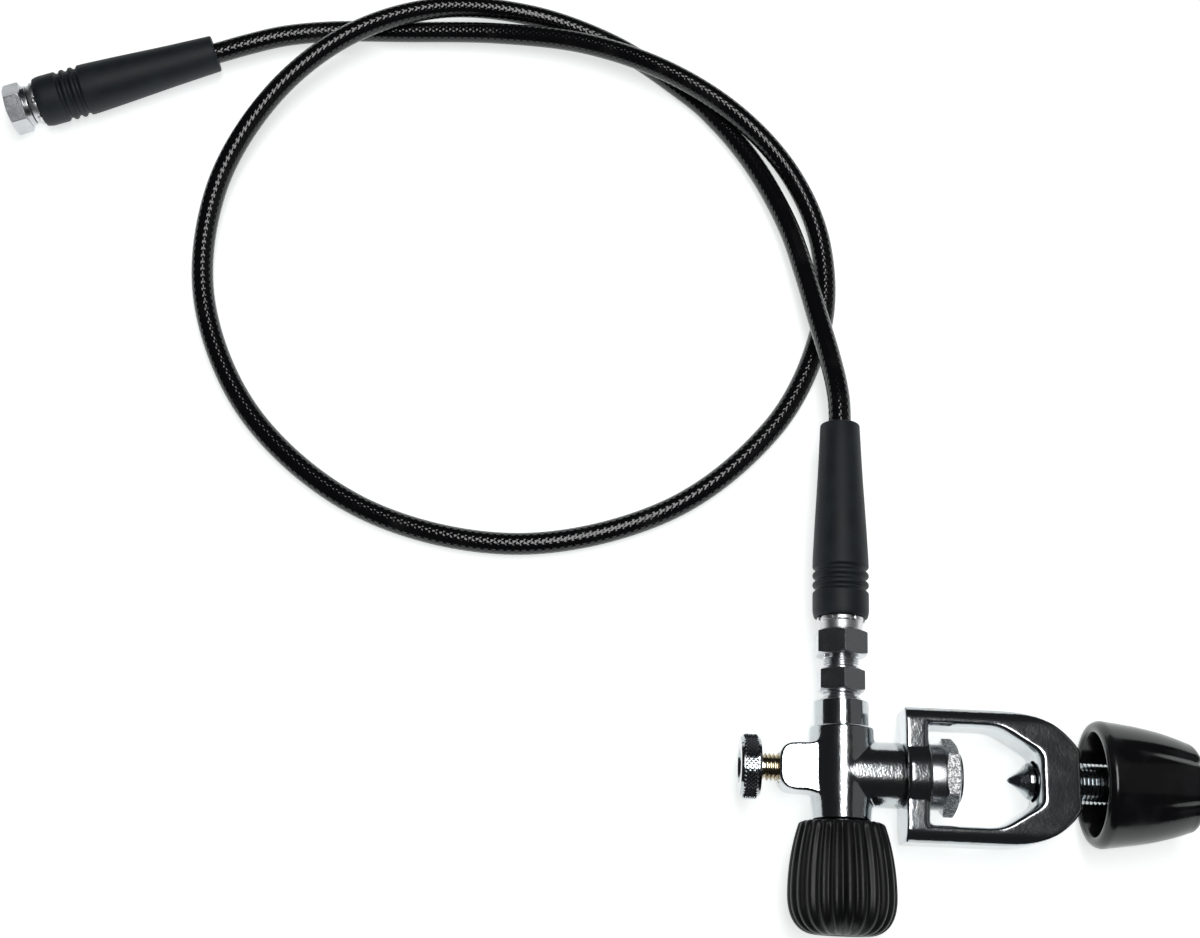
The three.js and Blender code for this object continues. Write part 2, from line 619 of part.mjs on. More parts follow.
function swivelNut(start, hexEnd, end) {
  const hex = hexY(SWIVEL_HEX_FLATS, start, hexEnd);
  const collar = turnedY(rod(SWIVEL_COLLAR_RADIUS, start + 1, end));
  const socket = turnedY(rod(SWIVEL_BORE_RADIUS, start - 1, end - SWIVEL_WALL), SMALL_ROUND);
  const neckHole = turnedY(rod(NIPPLE_RADIUS + GAP, start, end + 1), SMALL_ROUND);
  return surface(cut(joined(hex, collar), socket, neckHole));
}

function nipple(nutEnd) {
  const flangeEnd = nutEnd - SWIVEL_WALL - GAP;
  const bore = 1.8;
  return turnedY([
    [bore, flangeEnd - 1.5], [5, flangeEnd - 1.5], [5, flangeEnd], [NIPPLE_RADIUS, flangeEnd],
    [NIPPLE_RADIUS, HOSE_START - GAP], [bore, HOSE_START - GAP], [bore, flangeEnd - 1.5],
  ], SMALL_ROUND);
}

function ferrule(start) {
  const neck = NIPPLE_RADIUS + GAP;
  const step = RELIEF_START - GAP;
  return turnedY([
    [neck, start], [FERRULE_RADIUS, start], [FERRULE_RADIUS, step], [FERRULE_TAIL_RADIUS, step],
    [FERRULE_TAIL_RADIUS, FERRULE_END], [HOSE_BORE, FERRULE_END], [HOSE_BORE, 20], [neck, 20],
    [neck, start],
  ]);
}

function bendRelief() {
  const outer = RELIEF_RADIUS;
  const seat = FERRULE_TAIL_RADIUS + GAP;
  const grooves = [26, 30, 34].flatMap((at) => [
    [outer, at - 1.2], [outer - 1, at - 0.6], [outer - 1, at + 0.6], [outer, at + 1.2],
  ]);
  return turnedY([
    [seat, RELIEF_START], [outer - 1.6, RELIEF_START], [outer, RELIEF_START + 2], ...grooves,
    [outer, RELIEF_BAND_END], [RELIEF_MOUTH_RADIUS + 1.1, 70], [RELIEF_MOUTH_RADIUS, RELIEF_MOUTH],
    [HOSE_BORE, RELIEF_MOUTH], [HOSE_BORE, FERRULE_END + GAP], [seat, FERRULE_END + GAP],
    [seat, RELIEF_START],
  ]);
}

// One end of the hose, along +Y from the nut's open face to the bend protector's mouth
function hoseEnd(prefix, nutStart, hexEnd, nutEnd) {
  return [
    node(`${prefix}_swivel_nut`, swivelNut(nutStart, hexEnd, nutEnd), chrome),
    node(`${prefix}_nipple`, nipple(nutEnd), brass),
    node(`${prefix}_ferrule`, ferrule(nutEnd + GAP), chrome),
    node(`${prefix}_relief`, bendRelief(), rubber),
  ];
}

function hose() {
  const points = HOSE_ROUTE.map((point) => new THREE.Vector3(...point));
  const route = new THREE.CatmullRomCurve3(points, false, 'catmullrom', 0.5);
  return alongPath(route, HOSE_RADIUS, HOSE_STEPS, HOSE_SIDES);
}

// ---- Assembly -----------------------------------------------------------------------------------

const whip = new THREE.Group();

const head = new THREE.Group();
head.position.set(CROSSING_X, CROSSING_Y, AXIS_Z);
head.add(node('valve_body', valveBody(), chrome));
head.add(...yokeParts(), ...clampParts(), ...bleedParts(), ...valveParts(), ...adapterParts());

const nearEnd = new THREE.Group();
nearEnd.position.set(0, END_DATUM_Y, 0);
nearEnd.add(...hoseEnd('near', 0.2, 9.8, 9.8));
head.add(nearEnd);

const farEnd = new THREE.Group();
const farAxis = new THREE.Vector2(-Math.sin(FAR_TURN), Math.cos(FAR_TURN));
farEnd.position.set(
  FAR_MOUTH[0] - farAxis.x * RELIEF_MOUTH, FAR_MOUTH[1] - farAxis.y * RELIEF_MOUTH, FAR_AXIS_Z);
farEnd.rotation.z = FAR_TURN;
farEnd.add(...hoseEnd('far', 2, 9.6, 11.6));

whip.add(head, node('hose', hose(), hoseCover), farEnd);

export default whip;
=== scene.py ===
"""A scuba tank fill whip lying on a pale table: yoke clamp, shut-off valve, bleed screw and hose.

Lengths in the outlines are millimetres. Each sub-assembly is drawn round its own axis and then set
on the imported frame, which is in metres.
"""

import logging
import math
from collections.abc import Callable, Sequence
from dataclasses import dataclass
from enum import Enum

import bpy
import numpy as np
from mathutils import Matrix, Vector


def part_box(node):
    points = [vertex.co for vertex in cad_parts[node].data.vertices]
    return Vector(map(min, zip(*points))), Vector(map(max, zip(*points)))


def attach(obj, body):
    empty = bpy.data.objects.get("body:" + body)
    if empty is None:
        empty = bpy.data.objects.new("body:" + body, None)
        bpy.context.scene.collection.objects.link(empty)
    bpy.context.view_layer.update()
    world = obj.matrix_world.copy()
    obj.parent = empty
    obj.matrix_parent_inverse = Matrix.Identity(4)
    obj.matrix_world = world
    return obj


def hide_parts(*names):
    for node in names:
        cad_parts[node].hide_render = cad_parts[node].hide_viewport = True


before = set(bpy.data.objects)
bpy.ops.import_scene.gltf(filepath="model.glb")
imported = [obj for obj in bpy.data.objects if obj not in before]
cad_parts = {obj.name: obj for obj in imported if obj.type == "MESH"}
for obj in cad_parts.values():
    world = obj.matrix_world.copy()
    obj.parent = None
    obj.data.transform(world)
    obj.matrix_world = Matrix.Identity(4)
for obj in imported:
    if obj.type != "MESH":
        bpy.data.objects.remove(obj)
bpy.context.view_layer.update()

MM = 0.001
FULL_TURN = 2 * math.pi
CHAMFER = math.radians(24)  # of a nut's corners
FACETED = 16  # degrees: edges sharper than this stay crisp on a nut
UP = Vector((0.0, 0.0, 1.0))

Point = tuple[float, ...]
Outline = list[Point]
Piece = bpy.types.Object
Depths = Callable[[float, float, float], float]

log = logging.getLogger("fill_whip")


# ---- Where things are ---------------------------------------------------------------------------


def centre(node: str) -> Vector:
    """The centre of a CAD node's box, in metres."""
    low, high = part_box(node)
    return (Vector(low) + Vector(high)) / 2


@dataclass(frozen=True)
class Axis:
    """A line that pieces are turned round, with its own up direction."""

    origin: Vector
    direction: Vector

    def matrix(self) -> Matrix:
        """The placement that takes local Z to the direction and local Y to up."""
        side = UP.cross(self.direction)
        turn = Matrix((side, UP, self.direction)).transposed()
        return Matrix.Translation(self.origin) @ turn.to_4x4()


CROSSING = Vector((centre("handwheel_grip").x, centre("clamp_knob").y, centre("clamp_knob").z))
CLAMP_AXIS = Axis(CROSSING, Vector((1.0, 0.0, 0.0)))
VALVE_AXIS = Axis(CROSSING, Vector((0.0, 1.0, 0.0)))
HEAD = Matrix.Translation(CROSSING)

BLEED_OFFSET = 1.2  # the bleed boss sits a little off the clamp axis
BLEED_HEAD = Matrix.Translation(CROSSING + Vector((0.0, BLEED_OFFSET * MM, 0.0)))
BLEED_AXIS = Axis(BLEED_HEAD.translation, CLAMP_AXIS.direction)

FITTING_DATUM = 44.1  # along the valve axis to the hose end's own datum
RELIEF_MOUTH = 94.5  # along a hose end to the bend protector's mouth
FAR_TURN = math.radians(21)
FAR_DIRECTION = Vector((math.cos(FAR_TURN), math.sin(FAR_TURN), 0.0))
FAR_MOUTH = Vector((-0.3205, 0.2916, 0.011))
NEAR_END = Axis(CROSSING + Vector((0.0, FITTING_DATUM * MM, 0.0)), VALVE_AXIS.direction)
FAR_END = Axis(FAR_MOUTH - FAR_DIRECTION * RELIEF_MOUTH * MM, FAR_DIRECTION)


# ---- Outlines -----------------------------------------------------------------------------------


def rounded(corners: Sequence[Point], steps: int = 5) -> Outline:
    """Rounds the corners of an outline.

    Args:
        corners: Points of two coordinates, with a third for the rounding's reach from the corner.
        steps: Segments in each rounding.

    Returns:
        The outline's points, each rounding drawn as a quadratic curve.
    """
    outline: Outline = []
    last = len(corners) - 1
    for index, corner in enumerate(corners):
        here = Vector(corner[:2])
        reach = corner[2] if len(corner) > 2 else 0.0
        if reach == 0 or index in (0, last):
            outline.append(tuple(here))
            continue
        before = (Vector(corners[index - 1][:2]) - here).normalized() * reach + here
        after = (Vector(corners[index + 1][:2]) - here).normalized() * reach + here
        for step in range(steps + 1):
            along = step / steps
            outline.append(tuple(before.lerp(here, along).lerp(here.lerp(after, along), along)))
    return outline


def looped(corners: Sequence[Point]) -> list[Point]:
    """Repeats the first corner at the end, so that the outline closes."""
    return [*corners, corners[0][:2]]


def bezier(start: Point, first: Point, second: Point, end: Point, steps: int = 12) -> Outline:
    """Points along a cubic curve, both ends included."""
    points = [Vector(p) for p in (start, first, second, end)]
    curve: Outline = []
    for step in range(steps + 1):
        row = points
        while len(row) > 1:
            row = [a.lerp(b, step / steps) for a, b in zip(row, row[1:])]
        curve.append(tuple(row[0]))
    return curve


# ---- The bench: how meshes are made --------------------------------------------------------------


class Join(Enum):
    """How one solid meets another."""

    UNION = "UNION"
    DIFFERENCE = "DIFFERENCE"
    INTERSECT = "INTERSECT"


class Bench:
    """The operations that shape a mesh, each on one object."""

    @staticmethod
    def pick(piece: Piece) -> None:
        """Selects one object only and makes it active."""
        bpy.ops.object.select_all(action="DESELECT")
        piece.select_set(True)
        bpy.context.view_layer.objects.active = piece

    @staticmethod
    def apply(piece: Piece, kind: str, **settings: object) -> None:
        """Adds a modifier of this kind with these settings and applies it."""
        Bench.pick(piece)
        bpy.ops.object.modifier_add(type=kind)
        modifier = piece.modifiers[-1]
        for name, value in settings.items():
            setattr(modifier, name, value)
        bpy.ops.object.modifier_apply(modifier=modifier.name)

    @staticmethod
    def wire(name: str, points: Sequence[Point], closed: bool = False) -> Piece:
        """Draws a line of edges, one extruded vertex after another.

        Args:
            name: The object's name.
            points: The line's points, of three coordinates in millimetres.
            closed: Whether the last point joins the first.

        Returns:
            The new object, in object mode.
        """
        bpy.ops.object.select_all(action="DESELECT")
        bpy.ops.mesh.primitive_plane_add(size=MM)
        piece = bpy.context.object
        piece.name = piece.data.name = name
        bpy.ops.object.mode_set(mode="EDIT")
        bpy.ops.mesh.select_all(action="SELECT")
        bpy.ops.mesh.merge(type="CENTER")
        start = Vector(points[0]) * MM
        bpy.ops.transform.translate(value=start)
        for before, after in zip(points, points[1:]):
            step = (Vector(after) - Vector(before)) * MM
            bpy.ops.mesh.extrude_region_move(TRANSFORM_OT_translate={"value": step})
        if closed:
            bpy.ops.mesh.select_all(action="SELECT")
            bpy.ops.mesh.remove_doubles(threshold=MM / 1000)
        bpy.ops.object.mode_set(mode="OBJECT")
        return piece

    @staticmethod
    def tidy(piece: Piece) -> None:
        """Merges doubled points and turns every face outwards."""
        Bench.pick(piece)
        bpy.ops.object.mode_set(mode="EDIT")
        bpy.ops.mesh.select_all(action="SELECT")
        bpy.ops.mesh.remove_doubles(threshold=MM / 1000)
        bpy.ops.mesh.normals_make_consistent(inside=False)
        bpy.ops.object.mode_set(mode="OBJECT")

    @staticmethod
    def turned(name: str, outline: Outline, steps: int = 96) -> Piece:
        """Turns an outline of (radius, distance) points round local Z."""
        piece = Bench.wire(name, [(radius, 0.0, along) for radius, along in outline])
        bpy.ops.object.mode_set(mode="EDIT")
        bpy.ops.mesh.select_all(action="SELECT")
        bpy.ops.mesh.spin(steps=steps, angle=FULL_TURN, center=(0, 0, 0), axis=(0, 0, 1))
        bpy.ops.object.mode_set(mode="OBJECT")
        Bench.tidy(piece)
        return piece

    @staticmethod
    def slab(name: str, outline: Outline, thickness: float, flare: float = 1.0) -> Piece:
        """Fills a closed outline and gives it a thickness about local z = 0.

        Args:
            name: The object's name.
            outline: The outline's (x, y) points in millimetres, the last one like the first.
            thickness: Thickness in millimetres.
            flare: How much larger the upper face is than the lower one.

        Returns:
            The new object.
        """
        low = -thickness / 2
        piece = Bench.wire(name, [(x, y, low) for x, y in outline], closed=True)
        bpy.ops.object.mode_set(mode="EDIT")
        bpy.ops.mesh.select_all(action="SELECT")
        bpy.ops.mesh.edge_face_add()
        bpy.ops.mesh.extrude_region_move(
            TRANSFORM_OT_translate={"value": (0, 0, thickness * MM)}
        )
        bpy.ops.transform.resize(value=(flare, flare, 1.0))
        bpy.ops.object.mode_set(mode="OBJECT")
        Bench.tidy(piece)
        return piece

    @staticmethod
    def helix(name: str, section: Outline, pitch: float, turns: int, steps: int = 40) -> Piece:
        """Winds a closed (radius, distance) section round local Z, a pitch further each turn."""
        piece = Bench.wire(name, [(radius, 0.0, along) for radius, along in section], closed=True)
        Bench.apply(
            piece, "SCREW", axis="Z", angle=FULL_TURN, screw_offset=pitch * MM, iterations=turns,
            steps=steps, render_steps=steps, use_merge_vertices=False, use_normal_calculate=True,
        )
        bpy.ops.object.mode_set(mode="EDIT")
        bpy.ops.mesh.select_all(action="SELECT")
        bpy.ops.mesh.fill_holes(sides=0)
        bpy.ops.object.mode_set(mode="OBJECT")
        Bench.tidy(piece)
        return piece

    @staticmethod
    def merged(name: str, *pieces: Piece) -> Piece:
        """Joins several objects into one, keeping their shells."""
        bpy.ops.object.select_all(action="DESELECT")
        for piece in pieces:
            piece.select_set(True)
        bpy.context.view_layer.objects.active = pieces[0]
        bpy.ops.object.join()
        pieces[0].name = pieces[0].data.name = name
        return pieces[0]

    @staticmethod
    def combine(piece: Piece, tool: Piece, how: Join) -> None:
        """Joins, cuts or trims a solid by another, which is used up."""
        Bench.apply(piece, "BOOLEAN", operation=how.value, object=tool, solver="EXACT")
        bpy.data.objects.remove(tool, do_unlink=True)
        Bench.tidy(piece)

    @staticmethod
    def place(piece: Piece, matrix: Matrix) -> None:
        """Moves a piece to its place and leaves its object at the origin."""
        Bench.pick(piece)
        piece.matrix_world = matrix
        bpy.ops.object.transform_apply(location=True, rotation=True, scale=True)

    @staticmethod
    def mount(axis: Axis, *pieces: Piece) -> None:
        """Sets pieces that are drawn round local Z on an axis of the whip."""
        for piece in pieces:
            Bench.place(piece, axis.matrix())

    @staticmethod
    def soften(piece: Piece, width: float, segments: int = 2, angle: float = 40) -> None:
        """Breaks sharp edges by a width in millimetres."""
        Bench.apply(
            piece, "BEVEL", width=width * MM, segments=segments, limit_method="ANGLE",
            angle_limit=math.radians(angle), harden_normals=False, use_clamp_overlap=True,
        )

    @staticmethod
    def cast(piece: Piece, voxel: float, rounds: int) -> None:
        """Gives a solid the soft edges and inner corners of a polished casting.

        Args:
            piece: The solid, which may be several shells that overlap.
            voxel: The size of the cells that it is rebuilt from, in millimetres.
            rounds: How often its surface is smoothed.
        """
        Bench.apply(piece, "REMESH", mode="VOXEL", voxel_size=voxel * MM, adaptivity=0.0)
        Bench.apply(piece, "SMOOTH", factor=0.5, iterations=rounds)

    @staticmethod
    def carve(piece: Piece, depth: float, weight: Depths) -> None:
        """Moves the surface along its normals by a depth in millimetres, more where it weighs more.

        Args:
            piece: The piece, still drawn round its own axis.
            depth: How far a point of full weight moves, inwards where negative.
            weight: Gives a point's weight from its radius, angle and distance.
        """
        group = piece.vertex_groups.new(name="carved")
        for vertex in piece.data.vertices:
            x, y, z = vertex.co / MM
            amount = weight(math.hypot(x, y), math.atan2(y, x), z)
            if amount > 0:
                group.add([vertex.index], amount, "REPLACE")
        Bench.apply(
            piece, "DISPLACE", strength=depth * MM, mid_level=0.0, direction="NORMAL",
            vertex_group=group.name,
        )
        piece.vertex_groups.clear()

    @staticmethod
    def smooth(piece: Piece, angle: float = 35) -> None:
        """Shades smooth across edges flatter than this angle in degrees."""
        Bench.pick(piece)
        bpy.ops.object.shade_smooth_by_angle(angle=math.radians(angle))

    @staticmethod
    def hexagon(name: str, flats: float, low: float, high: float, turn: float = 0) -> Piece:
        """A hexagonal length of bar round local Z, its corners chamfered as a nut's are.

        Args:
            name: The object's name.
            flats: Size across the flats, in millimetres.
            low: Where it starts along the axis.
            high: Where it ends.
            turn: Degrees from where a corner points up.

        Returns:
            The new object.
        """
        corner = flats / math.sqrt(3)
        inner = flats / 2 * 0.97
        drop = (corner - inner) * math.tan(CHAMFER)
        bpy.ops.object.select_all(action="DESELECT")
        bpy.ops.mesh.primitive_cylinder_add(
            vertices=6, radius=corner * MM, depth=(high - low) * MM,
            location=(0, 0, (low + high) / 2 * MM),
            rotation=(0, 0, math.radians(turn)),
        )
        bar = bpy.context.object
        bar.name = bar.data.name = name
        Bench.place(bar, bar.matrix_world.copy())
        trim = Bench.turned("trim", [
            (0, low - 1), (inner - 2, low - 1), (inner - 2, low), (inner, low),
            (corner + 0.05, low + drop), (corner + 0.05, high - drop), (inner, high),
            (inner - 2, high), (inner - 2, high + 1), (0, high + 1),
        ])
        Bench.combine(bar, trim, Join.INTERSECT)
        Bench.soften(bar, 0.22, angle=20)
        return bar

    @staticmethod
    def thread(
        name: str, root: float, crest: float, pitch: float, low: float, turns: int
    ) -> Piece:
        """A screw thread's ridge, from a root radius out to its crest."""
        half = pitch * 0.48
        tip = pitch * 0.06
        section = [(root, low - half), (crest, low - tip), (crest, low + tip), (root, low + half)]
        return Bench.helix(name, looped(section), pitch, turns)


def ring(inner: float, outer: float, low: float, high: float, edge: float = 0.2) -> Outline:
    """The closed outline of a ring with lightly broken outer edges."""
    return rounded(looped([
        (inner, low), (outer, low, edge), (outer, high, edge), (inner, high),
    ]), steps=2)


# ---- Shader maths --------------------------------------------------------------------------------


class Wire:
    """A node's output, with arithmetic that adds Math nodes."""

    def __init__(self, tree: bpy.types.NodeTree, socket: bpy.types.NodeSocket) -> None:
        """Keeps the tree and the output socket."""
        self.tree = tree
        self.socket = socket

    def _math(self, operation: str, *values: object) -> "Wire":
        """Adds a Math node of this operation on these values."""
        inputs = dict(enumerate(values))
        return add_node(self.tree, "ShaderNodeMath", {"operation": operation}, inputs)

    def __add__(self, other: object) -> "Wire":
        """Adds a number or another output."""
        return self._math("ADD", self, other)

    def __sub__(self, other: object) -> "Wire":
        """Takes a number or another output away."""
        return self._math("SUBTRACT", self, other)

    def __rsub__(self, other: object) -> "Wire":
        """Takes this output away from a number."""
        return self._math("SUBTRACT", other, self)

    def __mul__(self, other: object) -> "Wire":
        """Multiplies by a number or another output."""
        return self._math("MULTIPLY", self, other)

    def over(self, low: float, high: float) -> "Wire":
        """Maps the range from low to high onto 0 to 1, clamped."""
        settings = {"clamp": True}
        inputs = {"Value": self, "From Min": low, "From Max": high}
        return add_node(self.tree, "ShaderNodeMapRange", settings, inputs)

    def between(self, low: float, high: float) -> "Wire":
        """Maps 0 to 1 onto the range from low to high."""
        return self * (high - low) + low

    def sine(self) -> "Wire":
        """The sine, in radians."""
        return self._math("SINE", self)

    def absolute(self) -> "Wire":
        """The value without its sign."""
        return self._math("ABSOLUTE", self)

    __radd__ = __add__
    __rmul__ = __mul__


def add_node(
    tree: bpy.types.NodeTree, kind: str, settings: dict[str, object] | None = None,
    inputs: dict[object, object] | None = None, output: object = 0,
) -> Wire:
    """Adds a node.

    Args:
        tree: The material's tree.
        kind: The node's type.
        settings: The node's own settings, set first.
        inputs: A value or a Wire for each socket, by name or number.
        output: The output to return, by name or number.

    Returns:
        The chosen output.
    """
    node = tree.nodes.new(kind)
    for name, value in (settings or {}).items():
        setattr(node, name, value)
    for key, value in (inputs or {}).items():
        if isinstance(value, Wire):
            tree.links.new(value.socket, node.inputs[key])
        else:
            node.inputs[key].default_value = value
    return Wire(tree, node.outputs[output])


class Paint:
    """One material under construction."""

    def __init__(self, name: str) -> None:
        """Starts a material with one Principled shader."""
        self.material = bpy.data.materials.new(name)
        self.material.use_nodes = True
        self.tree = self.material.node_tree
        self.shader = self.tree.nodes["Principled BSDF"]

    def node(self, kind: str, settings: dict[str, object] | None = None,
             inputs: dict[object, object] | None = None, output: object = 0) -> Wire:
        """Adds a node to this material."""
        return add_node(self.tree, kind, settings, inputs, output)

    def place(self) -> Wire:
        """The object's own coordinates, in metres."""
        return self.node("ShaderNodeTexCoord", output="Object")

    def noise(self, size: float, detail: float = 2.0, where: Wire | None = None) -> Wire:
        """Cloudy noise whose features are about this many millimetres across."""
        return self.node("ShaderNodeTexNoise", {}, {
            "Vector": where or self.place(), "Scale": 1 / (size * MM), "Detail": detail,
        })

    def mix(self, amount: Wire, first: Point, second: Point) -> Wire:
        """A colour between two, by amount."""
        return self.node("ShaderNodeMix", {"data_type": "RGBA"}, {
            0: amount, 6: (*first, 1.0), 7: (*second, 1.0),
        }, output=2)

    def bump(self, height: Wire, depth: float, strength: float = 1.0) -> Wire:
        """A normal from a height of 0 to 1 that stands for a depth in millimetres."""
        return self.node("ShaderNodeBump", {}, {
            "Height": height, "Distance": depth * MM, "Strength": strength,
        })

    def set(self, **values: object) -> None:
        """Sets the shader's sockets, spaces in their names written as underscores."""
        for name, value in values.items():
            socket = self.shader.inputs[name.replace("_", " ")]
            if isinstance(value, Wire):
                self.tree.links.new(value.socket, socket)
            else:
                socket.default_value = value


# ---- Finishes ------------------------------------------------------------------------------------


@dataclass(frozen=True)
class Plating:
    """Polished or satin metal plate, with handling marks and a faint unevenness."""

    name: str
    color: Point = (0.53, 0.56, 0.58)
    dull_color: Point = (0.48, 0.48, 0.47)
    gloss: float = 0.05
    smudge: float = 0.2
    ripple: float = 0.02
    grain: float = 0.6

    def material(self) -> bpy.types.Material:
        """Builds the material."""
        paint = Paint(self.name)
        marks = paint.noise(7, 4).over(0.45, 0.75)
        specks = paint.noise(self.grain, 1)
        waves = paint.noise(3.5, 1) * 0.45 + specks * 0.55
        paint.set(
            Metallic=1.0,
            Base_Color=paint.mix(marks, self.color, self.dull_color),
            Roughness=(marks * 0.5 + specks * 0.3).between(self.gloss, self.smudge),
            Normal=paint.bump(waves, self.ripple),
        )
        return paint.material


@dataclass(frozen=True)
class Blasted:
    """Bright metal with the coarse sparkle of a bead-blasted face."""

    name: str
    color: Point = (0.78, 0.79, 0.80)

    def material(self) -> bpy.types.Material:
        """Builds the material."""
        paint = Paint(self.name)
        grain = paint.noise(0.7, 3)
        tone = grain.over(0.42, 0.6)
        dark = tuple(0.3 * channel for channel in self.color)
        paint.set(
            Metallic=1.0,
            Base_Color=paint.mix(tone, dark, self.color),
            Roughness=tone.between(0.5, 0.38),
            Normal=paint.bump(grain, 0.2),
        )
        return paint.material


@dataclass(frozen=True)
class Moulding:
    """Gloss black moulding with a hint of orange peel."""

    name: str
    color: Point = (0.006, 0.006, 0.007)
    gloss: float = 0.16

    def material(self) -> bpy.types.Material:
        """Builds the material."""
        paint = Paint(self.name)
        wear = paint.noise(9, 5).over(0.5, 0.8)
        lighter = tuple(2.2 * channel for channel in self.color)
        paint.set(
            Base_Color=paint.mix(wear, self.color, lighter),
            Roughness=wear.between(self.gloss, self.gloss + 0.14),
            Normal=paint.bump(paint.noise(1.3, 2), 0.02),
        )
        return paint.material


@dataclass(frozen=True)
class Rubber:
    """Moulded rubber with a fine tooth and a little bloom."""

    name: str
    color: Point = (0.0120, 0.0160, 0.0205)
    bloom: Point = (0.022, 0.028, 0.034)
    dull: float = 0.5

    def material(self) -> bpy.types.Material:
        """Builds the material."""
        paint = Paint(self.name)
        cloud = paint.noise(11, 5).over(0.38, 0.72)
        tooth = paint.noise(0.45, 3)
        paint.set(
            Base_Color=paint.mix(cloud, self.color, self.bloom),
            Roughness=(cloud * 0.6 + tooth * 0.4).between(self.dull, self.dull + 0.16),
            Specular_IOR_Level=0.35,
            Normal=paint.bump(tooth, 0.035),
        )
        return paint.material


@dataclass(frozen=True)
class BraidedCover:
    """Gloss hose cover pulled down over a wire braid that shows through it."""

    name: str
    color: Point = (0.005, 0.005, 0.006)
    strands: int = 12
    lay: float = 3.0

    def material(self) -> bpy.types.Material:
        """Builds the material from the hose's own map, metres along U and turns round V."""
        paint = Paint(self.name)
        where = paint.node("ShaderNodeUVMap", {"uv_map": "cover"})
        parts = paint.node("ShaderNodeSeparateXYZ", {}, {0: where})
        along = parts * (math.pi / (self.lay * MM))
        round_it = Wire(paint.tree, parts.socket.node.outputs[1]) * (math.pi * self.strands)
        one = (round_it + along).sine().absolute()
        other = (round_it - along).sine().absolute()
        weave = one * other
        scuffs = paint.noise(14, 5).over(0.55, 0.8)
        paint.set(
            Base_Color=paint.mix(scuffs, self.color, (0.014, 0.014, 0.015)),
            Roughness=scuffs.between(0.1, 0.24),
            Normal=paint.bump(weave, 0.075),
        )
        return paint.material


class Finishes:
    """Every finish of the whip, each built once."""

    def __init__(self) -> None:
        """Builds the materials."""
        self.chrome = Plating("polished_chrome").material()
        self.cast = Plating(
            "cast_chrome", gloss=0.12, smudge=0.2, ripple=0.06,
            grain=0.8).material()
        self.machined = Plating(
            "machined_chrome", (0.58, 0.59, 0.61), (0.5, 0.51, 0.53), 0.22, 0.36, 0.03).material()
        self.satin = Plating(
            "satin_chrome", (0.72, 0.73, 0.74), (0.55, 0.56, 0.57), 0.34, 0.5, 0.04).material()
        self.blasted = Blasted("blasted_nickel").material()
        self.nickel = Plating(
            "warm_nickel", (0.62, 0.56, 0.44), (0.46, 0.41, 0.31), 0.12, 0.34, 0.02).material()
        self.brass = Plating(
            "machined_brass", (0.72, 0.55, 0.26), (0.55, 0.41, 0.20), 0.16, 0.36, 0.02).material()
        self.steel = Plating(
            "turned_steel", (0.52, 0.53, 0.55), (0.42, 0.43, 0.45), 0.16, 0.34, 0.02).material()
        self.knob = Moulding("gloss_black_moulding").material()
        self.core = Moulding("core_moulding", (0.012, 0.012, 0.013), 0.4).material()
        self.relief = Rubber("bend_protector_rubber").material()
        self.grip = Rubber(
            "grip_rubber", (0.0055, 0.0058, 0.0065), (0.011, 0.0115, 0.013), 0.34).material()
        self.seal = Rubber(
            "seal_rubber", (0.008, 0.008, 0.008), (0.014, 0.014, 0.014), 0.45).material()
        self.seat = Moulding("white_seat", (0.62, 0.60, 0.54), 0.4).material()
        self.cover = BraidedCover("braided_cover").material()


def finish_piece(
    piece: Piece, material: bpy.types.Material, body: str, slot: str, *nodes: str
) -> Piece:
    """Dresses a piece and hangs it on the frame.

    Args:
        piece: The finished mesh, in place.
        material: What it is made of.
        body: The CAD body that it rides on.
        slot: The record's material slot; not used.
        *nodes: CAD nodes that it stands for.

    Returns:
        The same piece.
    """
    if not piece.data.materials:
        piece.data.materials.append(material)
    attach(piece, body)
    if nodes:
        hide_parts(*nodes)
    log.info("%s: %d faces, rides on %s", piece.name, len(piece.data.polygons), body)
    return piece


# ---- Hose and its ends ---------------------------------------------------------------------------

HOSE_ROUTE = [
    (-0.047, 0.0624, 0.0238), (-0.047, 0.094, 0.0238), (-0.047, 0.127, 0.0238),
    (-0.0478, 0.141, 0.0226), (-0.0506, 0.157, 0.0195), (-0.055, 0.176, 0.016),
    (-0.060, 0.197, 0.0126), (-0.066, 0.218, 0.0096), (-0.075, 0.239, 0.0069),
    (-0.085, 0.2562, 0.0054), (-0.097, 0.2716, 0.0047), (-0.1115, 0.2854, 0.0046),
    (-0.144, 0.3075, 0.0052), (-0.183, 0.3192, 0.009), (-0.224, 0.3164, 0.0156),
    (-0.262, 0.298, 0.0193), (-0.293, 0.266, 0.0178), (-0.3125, 0.2225, 0.013),
    (-0.312, 0.172, 0.008), (-0.286, 0.1225, 0.0052), (-0.237, 0.0865, 0.0046),
    (-0.175, 0.075, 0.0046), (-0.115, 0.0915, 0.0046), (-0.0725, 0.1285, 0.0046),
    (-0.0525, 0.172, 0.0046), (-0.0518, 0.2115, 0.0054), (-0.065, 0.244, 0.0086),
    (-0.089, 0.270, 0.0128), (-0.1205, 0.290, 0.0143), (-0.157, 0.3035, 0.0125),
    (-0.197, 0.3087, 0.0097), (-0.2395, 0.3082, 0.0084), (-0.268, 0.3066, 0.0092),
    (-0.290, 0.3026, 0.0104), (-0.3065, 0.297, 0.011), (-0.3205, 0.2916, 0.011),
    (-0.3485, 0.2809, 0.011), (-0.3788, 0.2692, 0.011),
]


